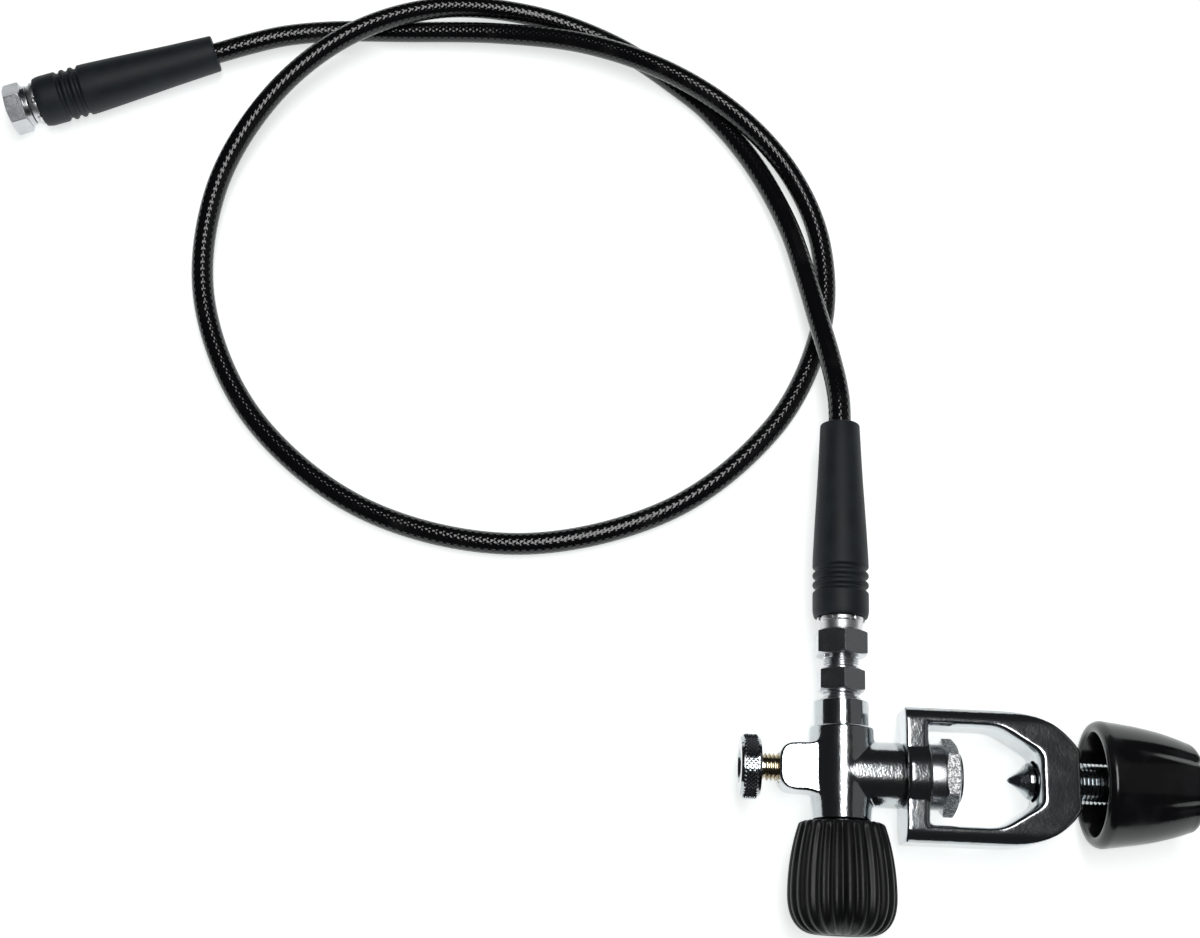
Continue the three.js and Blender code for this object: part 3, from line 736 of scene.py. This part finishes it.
@dataclass
class Hose:
    """The hose, swept along its route."""

    finishes: Finishes
    diameter: float = 0.009
    length: float = 1.316
    sides: int = 32
    spacing: float = 0.0015

    def route(self) -> np.ndarray:
        """The smooth centreline, as points evenly spaced along it."""
        points = np.array(HOSE_ROUTE)
        padded = np.vstack([2 * points[0] - points[1], points, 2 * points[-1] - points[-2]])
        fine = []
        for before, start, end, after in zip(padded, padded[1:], padded[2:], padded[3:]):
            for t in np.arange(0, 1, 1 / 40):
                fine.append(0.5 * (
                    2 * start + (end - before) * t
                    + (2 * before - 5 * start + 4 * end - after) * t**2
                    + (3 * start - before - 3 * end + after) * t**3
                ))
        fine = np.array([*fine, points[-1]])
        along = np.concatenate([[0], np.cumsum(np.linalg.norm(np.diff(fine, axis=0), axis=1))])
        stops = np.linspace(0, along[-1], int(along[-1] / self.spacing) + 1)
        return np.array([np.interp(stops, along, fine[:, k]) for k in range(3)]).T

    def build(self) -> Piece:
        """Sweeps the round section along the centreline, with a map for the braid."""
        line = self.route()
        tangents = np.gradient(line, axis=0)
        tangents /= np.linalg.norm(tangents, axis=1)[:, None]
        side = np.cross(np.array(UP), tangents)
        side /= np.linalg.norm(side, axis=1)[:, None]
        top = np.cross(tangents, side)
        angles = np.linspace(0, FULL_TURN, self.sides, endpoint=False)
        radius = self.diameter / 2
        rings = (
            line[:, None] + radius * np.cos(angles)[None, :, None] * side[:, None]
            + radius * np.sin(angles)[None, :, None] * top[:, None]
        )
        count = len(line)
        ring_of = np.arange(count - 1)[:, None] * self.sides
        here = np.arange(self.sides)[None]
        there = (here + 1) % self.sides
        next_ring = ring_of + self.sides
        faces = np.stack([
            ring_of + here, ring_of + there, next_ring + there, next_ring + here,
        ], axis=-1).reshape(-1, 4)
        last = (count - 1) * self.sides
        ends = [list(range(self.sides))[::-1], list(range(last, last + self.sides))]
        mesh = bpy.data.meshes.new("hose_cover")
        mesh.from_pydata(rings.reshape(-1, 3).tolist(), [], [*faces.tolist(), *ends])
        self._map(mesh, count)
        piece = bpy.data.objects.new("hose_cover", mesh)
        bpy.context.scene.collection.objects.link(piece)
        Bench.smooth(piece, 60)
        finish_piece(piece, self.finishes.cover, "valve", "hose_cover", "hose")
        self.line = line
        return piece

    def _map(self, mesh: bpy.types.Mesh, count: int) -> None:
        """Gives the cover its map: metres along in U, turns round in V."""
        layer = mesh.uv_layers.new(name="cover")
        for face in mesh.polygons:
            if len(face.vertices) > 4:
                continue
            wraps = max(v % self.sides for v in face.vertices) == self.sides - 1
            wraps = wraps and min(v % self.sides for v in face.vertices) == 0
            for loop, vertex in zip(face.loop_indices, face.vertices):
                ring_number, step = divmod(vertex, self.sides)
                turn = 1.0 if wraps and step == 0 else step / self.sides
                layer.data[loop].uv = (ring_number * self.length / (count - 1), turn)


@dataclass
class HoseEnd:
    """A swivel nut, nipple, crimped ferrule and rubber bend protector, round their own axis."""

    side: str
    axis: Axis
    finishes: Finishes
    nut_start: float
    hex_end: float
    nut_end: float
    flats: float = 19.0
    relief_radius: float = 10.9
    mouth_radius: float = 7.85
    crimp_radius: float = 9.2
    jaws: int = 8
    grooves: Point = (26.4, 30.2, 34.0)

    def build(self) -> list[Piece]:
        """Builds the four pieces and returns them."""
        nut_body = "far_swivel_nut" if self.side == "far" else "valve"
        return [
            self._dress(self._nut(), self.finishes.machined, nut_body, "chrome", "swivel_nut"),
            self._dress(self._nipple(), self.finishes.nickel, "valve", "brass", "nipple"),
            self._dress(self._ferrule(), self.finishes.satin, "valve", "chrome", "ferrule"),
            self._dress(self._relief(), self.finishes.relief, "valve", "relief_rubber", "relief"),
        ]

    def _dress(self, piece: Piece, material: bpy.types.Material, body: str,
               slot: str, part: str) -> Piece:
        """Places, shades and finishes a piece that stands for one of this end's nodes."""
        Bench.mount(self.axis, piece)
        Bench.smooth(piece, FACETED)
        return finish_piece(piece, material, body, slot, f"{self.side}_{part}")

    def _nut(self) -> Piece:
        """The hexagon and its round collar, bored through."""
        nut = Bench.hexagon(f"{self.side}_nut", self.flats, self.nut_start, self.hex_end)
        if self.nut_end > self.hex_end:
            collar = Bench.turned("collar", rounded([
                (0, self.hex_end - 2), (8.6, self.hex_end - 2), (8.6, self.nut_end, 0.5),
                (0, self.nut_end),
            ]))
            Bench.combine(nut, collar, Join.UNION)
        shoulder = self.nut_end - 1.4
        bore = Bench.turned("bore", [
            (0, self.nut_start - 1), (6.2, self.nut_start - 1), (5.3, self.nut_start + 0.8),
            (5.3, shoulder), (3.9, shoulder), (3.9, self.nut_end + 1), (0, self.nut_end + 1),
        ])
        Bench.combine(nut, bore, Join.DIFFERENCE)
        return nut

    def _nipple(self) -> Piece:
        """The hose tail, with its domed nose inside the nut."""
        flange_end = self.nut_end - 1.7
        return Bench.turned(f"{self.side}_tail", rounded(looped([
            (1.8, flange_end - 1.4), (3.6, flange_end - 1.4, 0.8), (5, flange_end - 0.6, 0.3),
            (5, flange_end, 0.2), (3.6, flange_end), (3.6, 31.7, 0.5), (1.8, 31.7),
        ]), steps=4), 64)

    def _ferrule(self) -> Piece:
        """The sleeve crimped on the hose, notched where the crimping jaws met."""
        start = self.nut_end + 0.3
        crimp = self.crimp_radius
        sleeve = Bench.turned(f"{self.side}_sleeve", rounded(looped([
            (3.9, start), (8.2, start, 0.4), (8.4, 13.2), (crimp, 13.6, 0.2), (crimp, 14.4),
            (crimp, 15, 0.2), (7.5, 15), (7.5, 42, 0.3), (4.9, 42), (4.9, 20), (3.9, 20),
        ]), steps=3), 96)

        def jaw_mark(radius: float, angle: float, along: float) -> float:
            """Full weight in a narrow band where two jaws met."""
            phase = (angle / FULL_TURN * self.jaws) % 1
            return 1.0 if radius > 8.7 and abs(phase - 0.5) < 0.1 else 0.0

        Bench.carve(sleeve, -0.5, jaw_mark)
        return sleeve

    def _relief(self) -> Piece:
        """The bend protector: a band, two ribs between three grooves, and a long taper."""
        wide = self.relief_radius
        outline: list[Point] = [(7.8, 15.3), (wide - 0.6, 15.3, 0.5), (wide, 17.5, 1.2)]
        for groove in self.grooves:
            outline += [
                (wide, groove - 1.3, 0.5), (wide - 1.1, groove - 0.5, 0.45),
                (wide - 1.1, groove + 0.5, 0.45), (wide, groove + 1.3, 0.5),
            ]
        outline += [
            (wide, 37.5, 2), (wide - 0.75, 52, 6), (self.mouth_radius + 0.95, 74, 6),
            (self.mouth_radius, RELIEF_MOUTH, 0.9), (4.9, RELIEF_MOUTH, 0.4), (4.9, 42.3),
            (7.8, 42.3),
        ]
        return Bench.turned(f"{self.side}_protector", rounded(looped(outline), steps=4), 96)


# ---- Valve body and its fittings -----------------------------------------------------------------


@dataclass
class ValveBody:
    """The chromed cross: outlet barrel with its collar, clamp branch and flat bleed boss."""

    finishes: Finishes
    barrel: float = 12.3
    foot: float = 11.05
    collar: float = 10.5
    shoulder: float = 17.1
    branch: float = 12.3
    foot_end: float = -17.9
    collar_end: float = 26.8
    branch_end: float = 22.3
    boss_half: float = 8.9
    boss_end: float = -24.1
    boss_corner: float = 6.5
    boss_thickness: float = 16.2
    gas_way: float = 2.0
    voxel: float = 0.36

    def build(self) -> Piece:
        """Builds the casting, its turned collar and its ports."""
        barrel = Bench.turned("barrel", [
            (0, self.foot_end), (self.foot, self.foot_end), (self.foot, -16), (self.barrel, -4),
            (self.barrel, self.shoulder), (0, self.shoulder),
        ])
        Bench.mount(VALVE_AXIS, barrel)
        branch = Bench.turned("branch", [
            (0, 0), (self.branch, 0), (self.branch, self.branch_end), (0, self.branch_end),
        ])
        Bench.mount(CLAMP_AXIS, branch)
        boss = self._boss()
        Bench.place(boss, BLEED_HEAD)
        body = Bench.merged("body_casting", barrel, branch, boss)
        Bench.cast(body, self.voxel, 34)
        collar = Bench.turned("collar", rounded([
            (0, 8), (self.collar, 8), (self.collar, self.collar_end, 0.5), (0, self.collar_end),
        ]))
        Bench.mount(VALVE_AXIS, collar)
        Bench.combine(body, collar, Join.UNION)
        for port in self._ports():
            Bench.combine(body, port, Join.DIFFERENCE)
        Bench.smooth(body, 40)
        return finish_piece(body, self.finishes.cast, "valve", "chrome", "valve_body")

    def _boss(self) -> Piece:
        """The flat lug round the bleed port, seen from above a tongue with a round end."""
        half = self.boss_half
        end = self.boss_end
        root = half + 2
        corner = self.boss_corner
        outline = rounded([
            (0, -root), (0, root), (-7.5, root, 2), (-12, half, 3), (end, half, corner),
            (end, -half, corner), (-12, -half, 3), (-7.5, -root, 2), (0, -root),
        ], steps=8)
        boss = Bench.slab("boss", outline, self.boss_thickness)
        Bench.soften(boss, 1.8, 5, angle=50)
        return boss

    def _ports(self) -> list[Piece]:
        """The tools that bore the outlet, the clamp port, the bleed port and the valve chamber."""
        way = self.gas_way
        outlet = Bench.turned("outlet", [
            (0, 0), (way, 0), (way, 11), (5.8, 11), (5.8, 26.2), (6.6, 27), (0, 27),
        ], 64)
        chamber = Bench.turned("chamber", [
            (0, -18.5), (7.3, -18.5), (7.3, -11.4), (5.3, -11.4), (5.3, -2.5), (way, -2.5),
            (way, 1), (0, 1),
        ], 64)
        clamp_port = Bench.turned("clamp_port", [
            (0, 0), (way, 0), (way, 8.7), (8.3, 8.7), (8.3, 23), (0, 23),
        ], 64)
        bleed_port = Bench.turned("bleed_port", [
            (0, -25), (6.5, -25), (5.7, -23.6), (5.7, -10.1), (1.2, -10.1), (1.2, 0), (0, 0),
        ], 64)
        Bench.mount(VALVE_AXIS, outlet, chamber)
        Bench.mount(CLAMP_AXIS, clamp_port)
        Bench.mount(BLEED_AXIS, bleed_port)
        return [outlet, chamber, clamp_port, bleed_port]


@dataclass
class Adapter:
    """The small hexagon fitting between the body and the hose's nut."""

    finishes: Finishes
    flats: float = 17.0
    hex_start: float = 30.6
    hex_end: float = 39.0

    def build(self) -> Piece:
        """Builds the turned stem, its hexagon and its threads as one piece."""
        stem = Bench.turned("adapter_stem", rounded(looped([
            (2, 12), (5.5, 12, 0.4), (5.5, 15), (3.9, 15), (3.9, 17.4), (5.5, 17.4), (5.5, 27.1),
            (7.6, 27.1, 0.3), (7.6, 28.2, 0.2), (6.7, 28.6), (6.7, 29.4), (7.7, 30, 0.2), (7.7, 31),
            (7.5, 38.6), (7.5, 39.8, 0.3), (6.2, 40.4), (6.2, 43, 0.2), (5, 43.4), (5, 48.8),
            (3.6, 50.3, 0.3), (2, 50.3),
        ]), steps=3))
        bar = Bench.hexagon("adapter_hexagon", self.flats, self.hex_start, self.hex_end)
        Bench.combine(bar, stem, Join.UNION)
        ridge = Bench.thread("ridge", 6.1, 6.9, 0.9, 41.0, 3)
        piece = Bench.merged("adapter_fitting", bar, ridge)
        Bench.mount(VALVE_AXIS, piece)
        Bench.smooth(piece, FACETED)
        return finish_piece(piece, self.finishes.machined, "valve", "chrome", "hose_adapter")


@dataclass
class BleedScrew:
    """The knurled knob and its screw, drawn along the clamp axis on its far side."""

    finishes: Finishes
    knob_radius: float = 12.15
    outer_end: float = -38.4
    inner_end: float = -30.8
    diamonds: int = 46
    knurl: float = 0.62
    rows: int = 7

    def build(self) -> None:
        """Builds the knob with its threaded neck."""
        knob = self._knob()
        neck = Bench.turned("bleed_neck", rounded([
            (0, -31.5), (5, -31.5), (5, -29.8), (4.3, -29.5), (4.3, -19.2), (3.6, -19.2),
            (3.6, -17), (5.3, -17), (5.3, -14.5, 0.5), (0, -14.5),
        ]), 64)
        ridge = Bench.thread("bleed_thread", 4.2, 5.4, 1.5, -28.8, 6)
        screw = Bench.merged("bleed_spindle", neck, ridge)
        Bench.mount(BLEED_AXIS, knob, screw)
        Bench.smooth(knob, 20)
        Bench.smooth(screw)
        finish_piece(knob, self.finishes.chrome, "bleed_screw", "chrome", "bleed_screw")
        finish_piece(screw, self.finishes.nickel, "bleed_screw", "chrome")

    def _knob(self) -> Piece:
        """The knob's disc, its rim covered in small pyramids."""
        rows = self.rows
        first = self.outer_end + 1.0
        last = self.inner_end - 1.0
        valley = self.knob_radius - self.knurl
        shoulder = self.knob_radius - 1.3
        rim = [(valley, first + (last - first) * row / rows) for row in range(rows + 1)]
        outline = [
            (0, self.outer_end + 0.8), (6, self.outer_end + 0.8), (6.6, self.outer_end),
            (shoulder, self.outer_end), *rim, (shoulder, self.inner_end), (6.2, self.inner_end),
            (5.2, self.inner_end + 0.5), (0, self.inner_end + 0.5),
        ]
        knob = Bench.turned("bleed_knob", outline, 2 * self.diamonds)
        step = (last - first) / rows

        def peak(radius: float, angle: float, along: float) -> float:
            """Full weight on every second point of the rim's grid, as on a chessboard."""
            if radius < valley - 0.1 or not first - 0.05 < along < last + 0.05:
                return 0.0
            column = round(angle / FULL_TURN * 2 * self.diamonds)
            row = round((along - first) / step)
            inside = 0 < row < rows
            return 1.0 if inside and (column + row) % 2 == 0 else 0.0

        Bench.carve(knob, self.knurl, peak)
        Bench.apply(knob, "TRIANGULATE", quad_method="SHORTEST_DIAGONAL")
        return knob


# ---- Yoke clamp ----------------------------------------------------------------------------------


@dataclass
class YokeClamp:
    """The frame, the hollow nut that holds it, the clamp screw and its knob."""

    finishes: Finishes
    half_width: float = 25.0
    throat_half: float = 18.2
    rear: float = 22.5
    wall: float = 31.6
    bend: float = 56.0
    arch: float = 72.0
    end: float = 87.0
    thickness: float = 22.0
    hub: float = 14.5
    boss: float = 11.0
    nut_bore: float = 8.3
    screw_bore: float = 7.7
    grooves: int = 6
    groove_depth: float = 1.0
    voxel: float = 0.42

    def build(self) -> None:
        """Builds the clamp's four pieces."""
        self._frame()
        self._nut()
        self._screw()
        self._knob()
        self._insert()

    def _outline(self) -> Outline:
        """The frame seen from above."""
        half = self.half_width
        curve = bezier((self.bend, half), (70, half), (80, 22), (self.end, self.boss), 20)
        lower = [(x, -y) for x, y in curve]
        rear = [(self.rear, half)]
        mirrored = [(self.rear, -half)]
        return [*lower, *reversed(curve), *rear, *mirrored, lower[0]]

    def _throat(self) -> Outline:
        """The opening that the tank valve sits in."""
        half = self.throat_half
        bend = self.bend + 1
        corners = [
            (self.wall, 0), (self.wall, half, 1.2), (bend, half, 4), (self.arch, 9, 2.5),
            (self.arch, -9, 2.5), (bend, -half, 4), (self.wall, -half, 1.2), (self.wall, 0),
        ]
        return rounded(corners, steps=6)

    def _frame(self) -> None:
        """The yoke: a rounded bar bent into an arch, with a hub and a boss."""
        bar = Bench.slab("yoke_frame", self._outline(), self.thickness + 4)
        half = self.half_width + 1
        high = self.thickness / 2
        section = Bench.slab("section", rounded(looped([
            (-half, 0), (-half, -high, 8), (half, -high, 8), (half, high, 8), (-half, high, 8),
        ]), steps=10), 200)
        Bench.mount(CLAMP_AXIS, section)
        Bench.place(bar, HEAD)
        Bench.combine(bar, section, Join.INTERSECT)
        throat = Bench.slab("throat", self._throat(), 60)
        Bench.place(throat, HEAD)
        Bench.combine(bar, throat, Join.DIFFERENCE)
        for turn in (0, math.pi):
            for low, flare in ((7.6, 1.03), (9.2, 1.1)):
                mouth = Bench.slab("throat_mouth", self._throat(), 2.4, flare)
                lift = Matrix.Translation(Vector((0.0, 0.0, low + 1.2)) * MM)
                Bench.place(mouth, HEAD @ Matrix.Rotation(turn, 4, "X") @ lift)
                Bench.combine(bar, mouth, Join.DIFFERENCE)
        hub = Bench.turned("hub", [
            (0, self.rear), (self.hub - 1, self.rear), (self.hub, self.rear + 1.2),
            (self.hub, self.wall), (0, self.wall),
        ])
        start = self.arch + 2
        boss = Bench.turned("boss", [
            (0, start), (self.boss, start), (self.boss, self.end), (0, self.end),
        ])
        Bench.mount(CLAMP_AXIS, hub, boss)
        yoke = Bench.merged("yoke_frame", bar, hub, boss)
        Bench.cast(yoke, self.voxel, 16)
        holes = (
            (self.nut_bore, self.rear - 2, self.wall + 2),
            (self.screw_bore, self.arch - 2, self.end + 2),
        )
        for radius, low, high in holes:
            hole = Bench.turned("hole", [(0, low), (radius, low), (radius, high), (0, high)], 64)
            Bench.mount(CLAMP_AXIS, hole)
            Bench.combine(yoke, hole, Join.DIFFERENCE)
        Bench.smooth(yoke, 45)
        finish_piece(yoke, self.finishes.cast, "yoke", "chrome", "yoke")

    def _nut(self) -> None:
        """The yoke nut: shank, round collar, bead-blasted hexagon and sealing ring."""
        shank = Bench.turned("yoke_nut_turned", rounded(looped([
            (2.6, 9), (8, 9, 0.5), (8, 12), (6.4, 12), (6.4, 14.4), (8, 14.4), (8, 31.9),
            (12.25, 31.9, 0.4), (12.25, 37.4), (9.2, 41.9), (9.6, 42.1), (9.6, 44, 0.5),
            (6.8, 44, 0.2), (6.4, 43.7), (3.2, 43.7, 0.3), (2.6, 43),
        ]), steps=4))
        bar = Bench.hexagon("yoke_nut_hexagon", 25.5, 36.8, 42.4, turn=30)
        bar.data.materials.append(self.finishes.machined)
        bar.data.materials.append(self.finishes.blasted)
        bore = Bench.turned("bore", [(0, 30), (5, 30), (5, 50), (0, 50)], 64)
        Bench.combine(bar, bore, Join.DIFFERENCE)
        for face in bar.data.polygons:
            outward = Vector((face.normal.x, face.normal.y)).length
            if outward > 0.99 and face.area > 20 * MM * MM:
                face.material_index = 1
        shank.data.materials.append(self.finishes.machined)
        nut = Bench.merged("yoke_retaining_nut", shank, bar)
        Bench.mount(CLAMP_AXIS, nut)
        Bench.smooth(nut, FACETED)
        finish_piece(nut, self.finishes.machined, "valve", "satin_chrome", "yoke_nut")

    def _screw(self) -> None:
        """The clamp screw: a cone with a hollow flare, then a threaded spindle."""
        spindle = Bench.turned("clamp_spindle", rounded([
            (0, 62), (0.9, 62.5, 0.4), (3.6, 66.6, 2), (6.7, 69.2, 0.6), (6.9, 71, 0.4), (6.2, 72),
            (6.2, 123, 0.6), (5.6, 124), (0, 124),
        ]), 72)
        ridge = Bench.thread("clamp_thread", 6.1, 7.5, 1.5, 76.5, 30)
        screw = Bench.merged("clamp_spindle", spindle, ridge)
        Bench.mount(CLAMP_AXIS, screw)
        Bench.smooth(screw)
        finish_piece(screw, self.finishes.chrome, "clamp_screw", "chrome", "clamp_screw")

    def _knob(self) -> None:
        """The cup-shaped knob, its six grooves deepest at the narrow end."""
        steps = (step / 24 for step in range(1, 25))
        side = [(23.8 - 3.6 * t - 3.1 * t**3, 96 + 32.5 * t) for t in steps]
        knob = Bench.turned("clamp_hand_knob", rounded(looped([
            (19, 95.2), (19.8, 93.9, 0.7), (22.4, 93.9, 1.2), (23.8, 96.2, 1.2), *side,
            (16.6, 130.6, 1.8), (13.8, 132.4, 1.4), (0.5, 132.4), (0.5, 127), (10.3, 127),
            (10.3, 112), (15.4, 112, 1), (17.8, 108, 1),
        ]), steps=4), 144)

        def groove(radius: float, angle: float, along: float) -> float:
            """Deepest midway between lobes, fading towards the mouth and the end face."""
            if along < 99 or radius < 11.5 + max(0.0, 122 - along) * 0.5:
                return 0.0
            phase = ((angle - math.pi / 2) / FULL_TURN * self.grooves + 0.5) % 1
            notch = max(0.0, 1 - min(phase, 1 - phase) / 0.17)
            fade = min(1.0, (along - 99) / 22)
            return notch * notch * (3 - 2 * notch) * fade

        Bench.carve(knob, -self.groove_depth, groove)
        Bench.mount(CLAMP_AXIS, knob)
        Bench.smooth(knob, 50)
        finish_piece(knob, self.finishes.knob, "clamp_knob", "knob_black", "clamp_knob")

    def _insert(self) -> None:
        """The brass bush moulded into the knob."""
        bush = Bench.turned("clamp_knob_bush", ring(7.8, 10, 112.3, 126.6, 0.4), 64)
        Bench.mount(CLAMP_AXIS, bush)
        Bench.smooth(bush)
        finish_piece(bush, self.finishes.brass, "clamp_knob", "brass", "clamp_knob_insert")


# ---- Shut-off valve ------------------------------------------------------------------------------


@dataclass
class Handwheel:
    """The ribbed rubber grip, its core and what holds it on the stem."""

    finishes: Finishes
    radius: float = 20.2
    ribs: int = 24
    rib_depth: float = 1.25

    def build(self) -> None:
        """Builds the grip, the core, the spring, the nut and the stem."""
        self._grip()
        self._fixings()

    def _grip(self) -> None:
        """The grip, swelling towards its end, with rounded ribs that die out at both ends."""
        wide = self.radius
        widest = (wide, -44.5)
        swell = bezier((16.4, -20.0), (18.4, -26), (wide, -35), widest, 20)
        close = bezier(widest, (wide, -52), (17.5, -58.7), (8.6, -58.7), 20)
        outline = [
            (13, -18.2), (14.6, -18.2), (15.6, -18.6), (16.2, -19.3), *swell, *close[1:],
            (7.3, -58.2), (7.3, -51), (12.3, -51), (12.3, -24), (13, -24), (13, -18.2),
        ]
        grip = Bench.turned("rubber_grip", outline, self.ribs * 10)

        def valley(radius: float, angle: float, along: float) -> float:
            """Full weight between two ribs, less towards the ends."""
            if radius < 10 or (radius < 14 and along > -50):
                return 0.0
            phase = (angle / FULL_TURN * self.ribs) % 1
            across = 0.5 - 0.5 * math.cos(FULL_TURN * phase)
            fade = min(1.0, max(0.0, (-along - 17.6) / 3), max(0.0, (radius - 9.5) / 5))
            return across**1.6 * fade

        Bench.carve(grip, -self.rib_depth, valley)
        Bench.mount(VALVE_AXIS, grip)
        Bench.smooth(grip, 60)
        finish_piece(grip, self.finishes.grip, "handwheel", "grip_rubber", "handwheel_grip")

    def _fixings(self) -> None:
        """The core, spring, nut and stem, seen through the hole in the grip's end."""
        core = Bench.turned("grip_core", looped([
            (7, -50.7), (12, -50.7), (12, -24.3), (3.3, -24.3), (3.3, -40), (7, -40),
        ]), 64)
        spring = Bench.helix("grip_spring", [
            (5.2 + 0.6 * math.cos(a), -45 + 0.6 * math.sin(a))
            for a in (FULL_TURN * k / 10 for k in range(11))
        ], 1.27, 3)
        nut = Bench.hexagon("grip_nut", 9, -48.8, -45.9)
        bore = Bench.turned("bore", [(0, -50), (2.7, -50), (2.7, -45), (0, -45)], 32)
        Bench.combine(nut, bore, Join.DIFFERENCE)
        rod = Bench.turned("stem_rod", rounded([
            (0, -49.4), (2.2, -49.4, 0.4), (2.2, -44), (3, -43.6), (3, -14.3), (4.8, -14.3),
            (4.8, -12.4), (2, -12.4), (2, -11.5), (0, -11.5),
        ]), 48)
        ridge = Bench.thread("stem_thread", 2.1, 2.4, 0.7, -48.9, 5)
        stem = Bench.merged("stem_rod", rod, ridge)
        for piece, material, slot, node in (
            (core, self.finishes.core, "core_plastic", "handwheel_core"),
            (spring, self.finishes.steel, "steel", "handwheel_spring"),
            (nut, self.finishes.steel, "steel", "handwheel_nut"),
            (stem, self.finishes.steel, "steel", "valve_stem"),
        ):
            Bench.mount(VALVE_AXIS, piece)
            Bench.smooth(piece)
            finish_piece(piece, material, "handwheel", slot, node)


# ---- Inner pieces --------------------------------------------------------------------------------


def dress_inner_nodes(finishes: Finishes) -> None:
    """Gives the CAD nodes that keep their own shape their finishes."""
    materials = {
        "seal_black": finishes.seal, "seal_white": finishes.seat, "steel": finishes.steel,
        "brass": finishes.brass,
    }
    inner = {
        "yoke_nut_oring": "seal_black", "bleed_oring": "seal_black", "bonnet_oring": "seal_black",
        "stem_oring": "seal_black", "adapter_oring": "seal_black", "thrust_washer": "seal_white",
        "seat_disc": "seal_white", "bleed_ball": "steel", "bonnet_nut": "steel",
        "valve_plug": "brass",
    }
    for name, slot in inner.items():
        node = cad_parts[name]
        for place in node.material_slots:
            place.material = materials[slot]
        log.info("%s keeps its shape, finish %s", name, slot)


# ---- Stage ---------------------------------------------------------------------------------------


@dataclass(frozen=True)
class Stage:
    """The camera, the table and the lights."""

    eye: Point = (-0.1409, -0.0909, 0.6251)
    tilt: float = 17.80
    heading: float = 0.52
    roll: float = 1.98
    lens: float = 47.58
    light_side: float = -0.0625

    def camera(self) -> None:
        """Looks steeply down on the table, a little forwards."""
        camera = bpy.data.cameras.new("camera")
        camera.lens = self.lens
        camera.sensor_width = 36
        camera.clip_start = 0.01
        holder = bpy.data.objects.new("camera", camera)
        bpy.context.scene.collection.objects.link(holder)
        holder.matrix_world = (
            Matrix.Translation(self.eye)
            @ Matrix.Rotation(math.radians(self.heading), 4, "Z")
            @ Matrix.Rotation(math.radians(self.tilt), 4, "X")
            @ Matrix.Rotation(math.radians(self.roll), 4, "Z")
        )
        bpy.context.scene.camera = holder

    def table(self) -> None:
        """A plain white table top."""
        bpy.ops.object.select_all(action="DESELECT")
        bpy.ops.mesh.primitive_plane_add(size=8, location=(0, 0, -0.0002))
        top = bpy.context.object
        top.name = "table_top"
        paint = Paint("table_white")
        paint.set(
            Base_Color=(0.86, 0.87, 0.87, 1.0), Roughness=0.6, Specular_IOR_Level=0.2,
            Emission_Color=(0.97, 1.0, 0.99, 1.0), Emission_Strength=0.7,
        )
        top.data.materials.append(paint.material)

    def lights(self) -> None:
        """A long light over the table with a soft edge, a pale wall at the side and a dim room."""
        scene = bpy.context.scene
        scene.view_settings.view_transform = "Standard"
        world = bpy.data.worlds.new("room")
        world.use_nodes = True
        world.node_tree.nodes["Background"].inputs[0].default_value = (0.9, 0.95, 1.0, 1.0)
        world.node_tree.nodes["Background"].inputs[1].default_value = 0.02
        scene.world = world
        overhead = (
            ("window", 0.15, 1.2, (0.365, 0.9), 7),
            ("near_glow", 0.2, 1.22, (0.42, 1.1), 0.5),
            ("far_glow", 0.25, 1.24, (0.5, 1.3), 0.3),
        )
        for name, along, height, size, power in overhead:
            place = (self.light_side, along, height)
            self._panel(name, place, size, power, (self.light_side, along, 0.0))
        self._panel("side_wall", (1.1, 0.2, 0.75), (1.2, 1.4), 0.6, (-0.05, 0.0, 0.0))

    def _panel(self, name: str, place: Point, size: tuple[float, float], power: float,
               target: Point) -> None:
        """Adds a rectangular light that faces a point."""
        light = bpy.data.lights.new(name, "AREA")
        light.shape = "RECTANGLE"
        light.size, light.size_y = size
        light.energy = power
        holder = bpy.data.objects.new(name, light)
        bpy.context.scene.collection.objects.link(holder)
        holder.location = place
        facing = Vector(target) - Vector(place)
        holder.rotation_euler = facing.to_track_quat("-Z", "Y").to_euler()


def main() -> None:
    """Builds the whole whip in order and reports each piece."""
    logging.basicConfig(level=logging.INFO, format="%(name)s %(message)s")
    stage = Stage()
    stage.camera()
    finishes = Finishes()
    hose = Hose(finishes)
    cover = hose.build()
    near = HoseEnd("near", NEAR_END, finishes, 0.2, 9.8, 9.8).build()
    far = HoseEnd("far", FAR_END, finishes, 2.0, 9.6, 11.6).build()
    ValveBody(finishes).build()
    Adapter(finishes).build()
    BleedScrew(finishes).build()
    YokeClamp(finishes).build()
    Handwheel(finishes).build()
    dress_inner_nodes(finishes)
    stage.table()
    stage.lights()


if __name__ == "__main__":
    main()
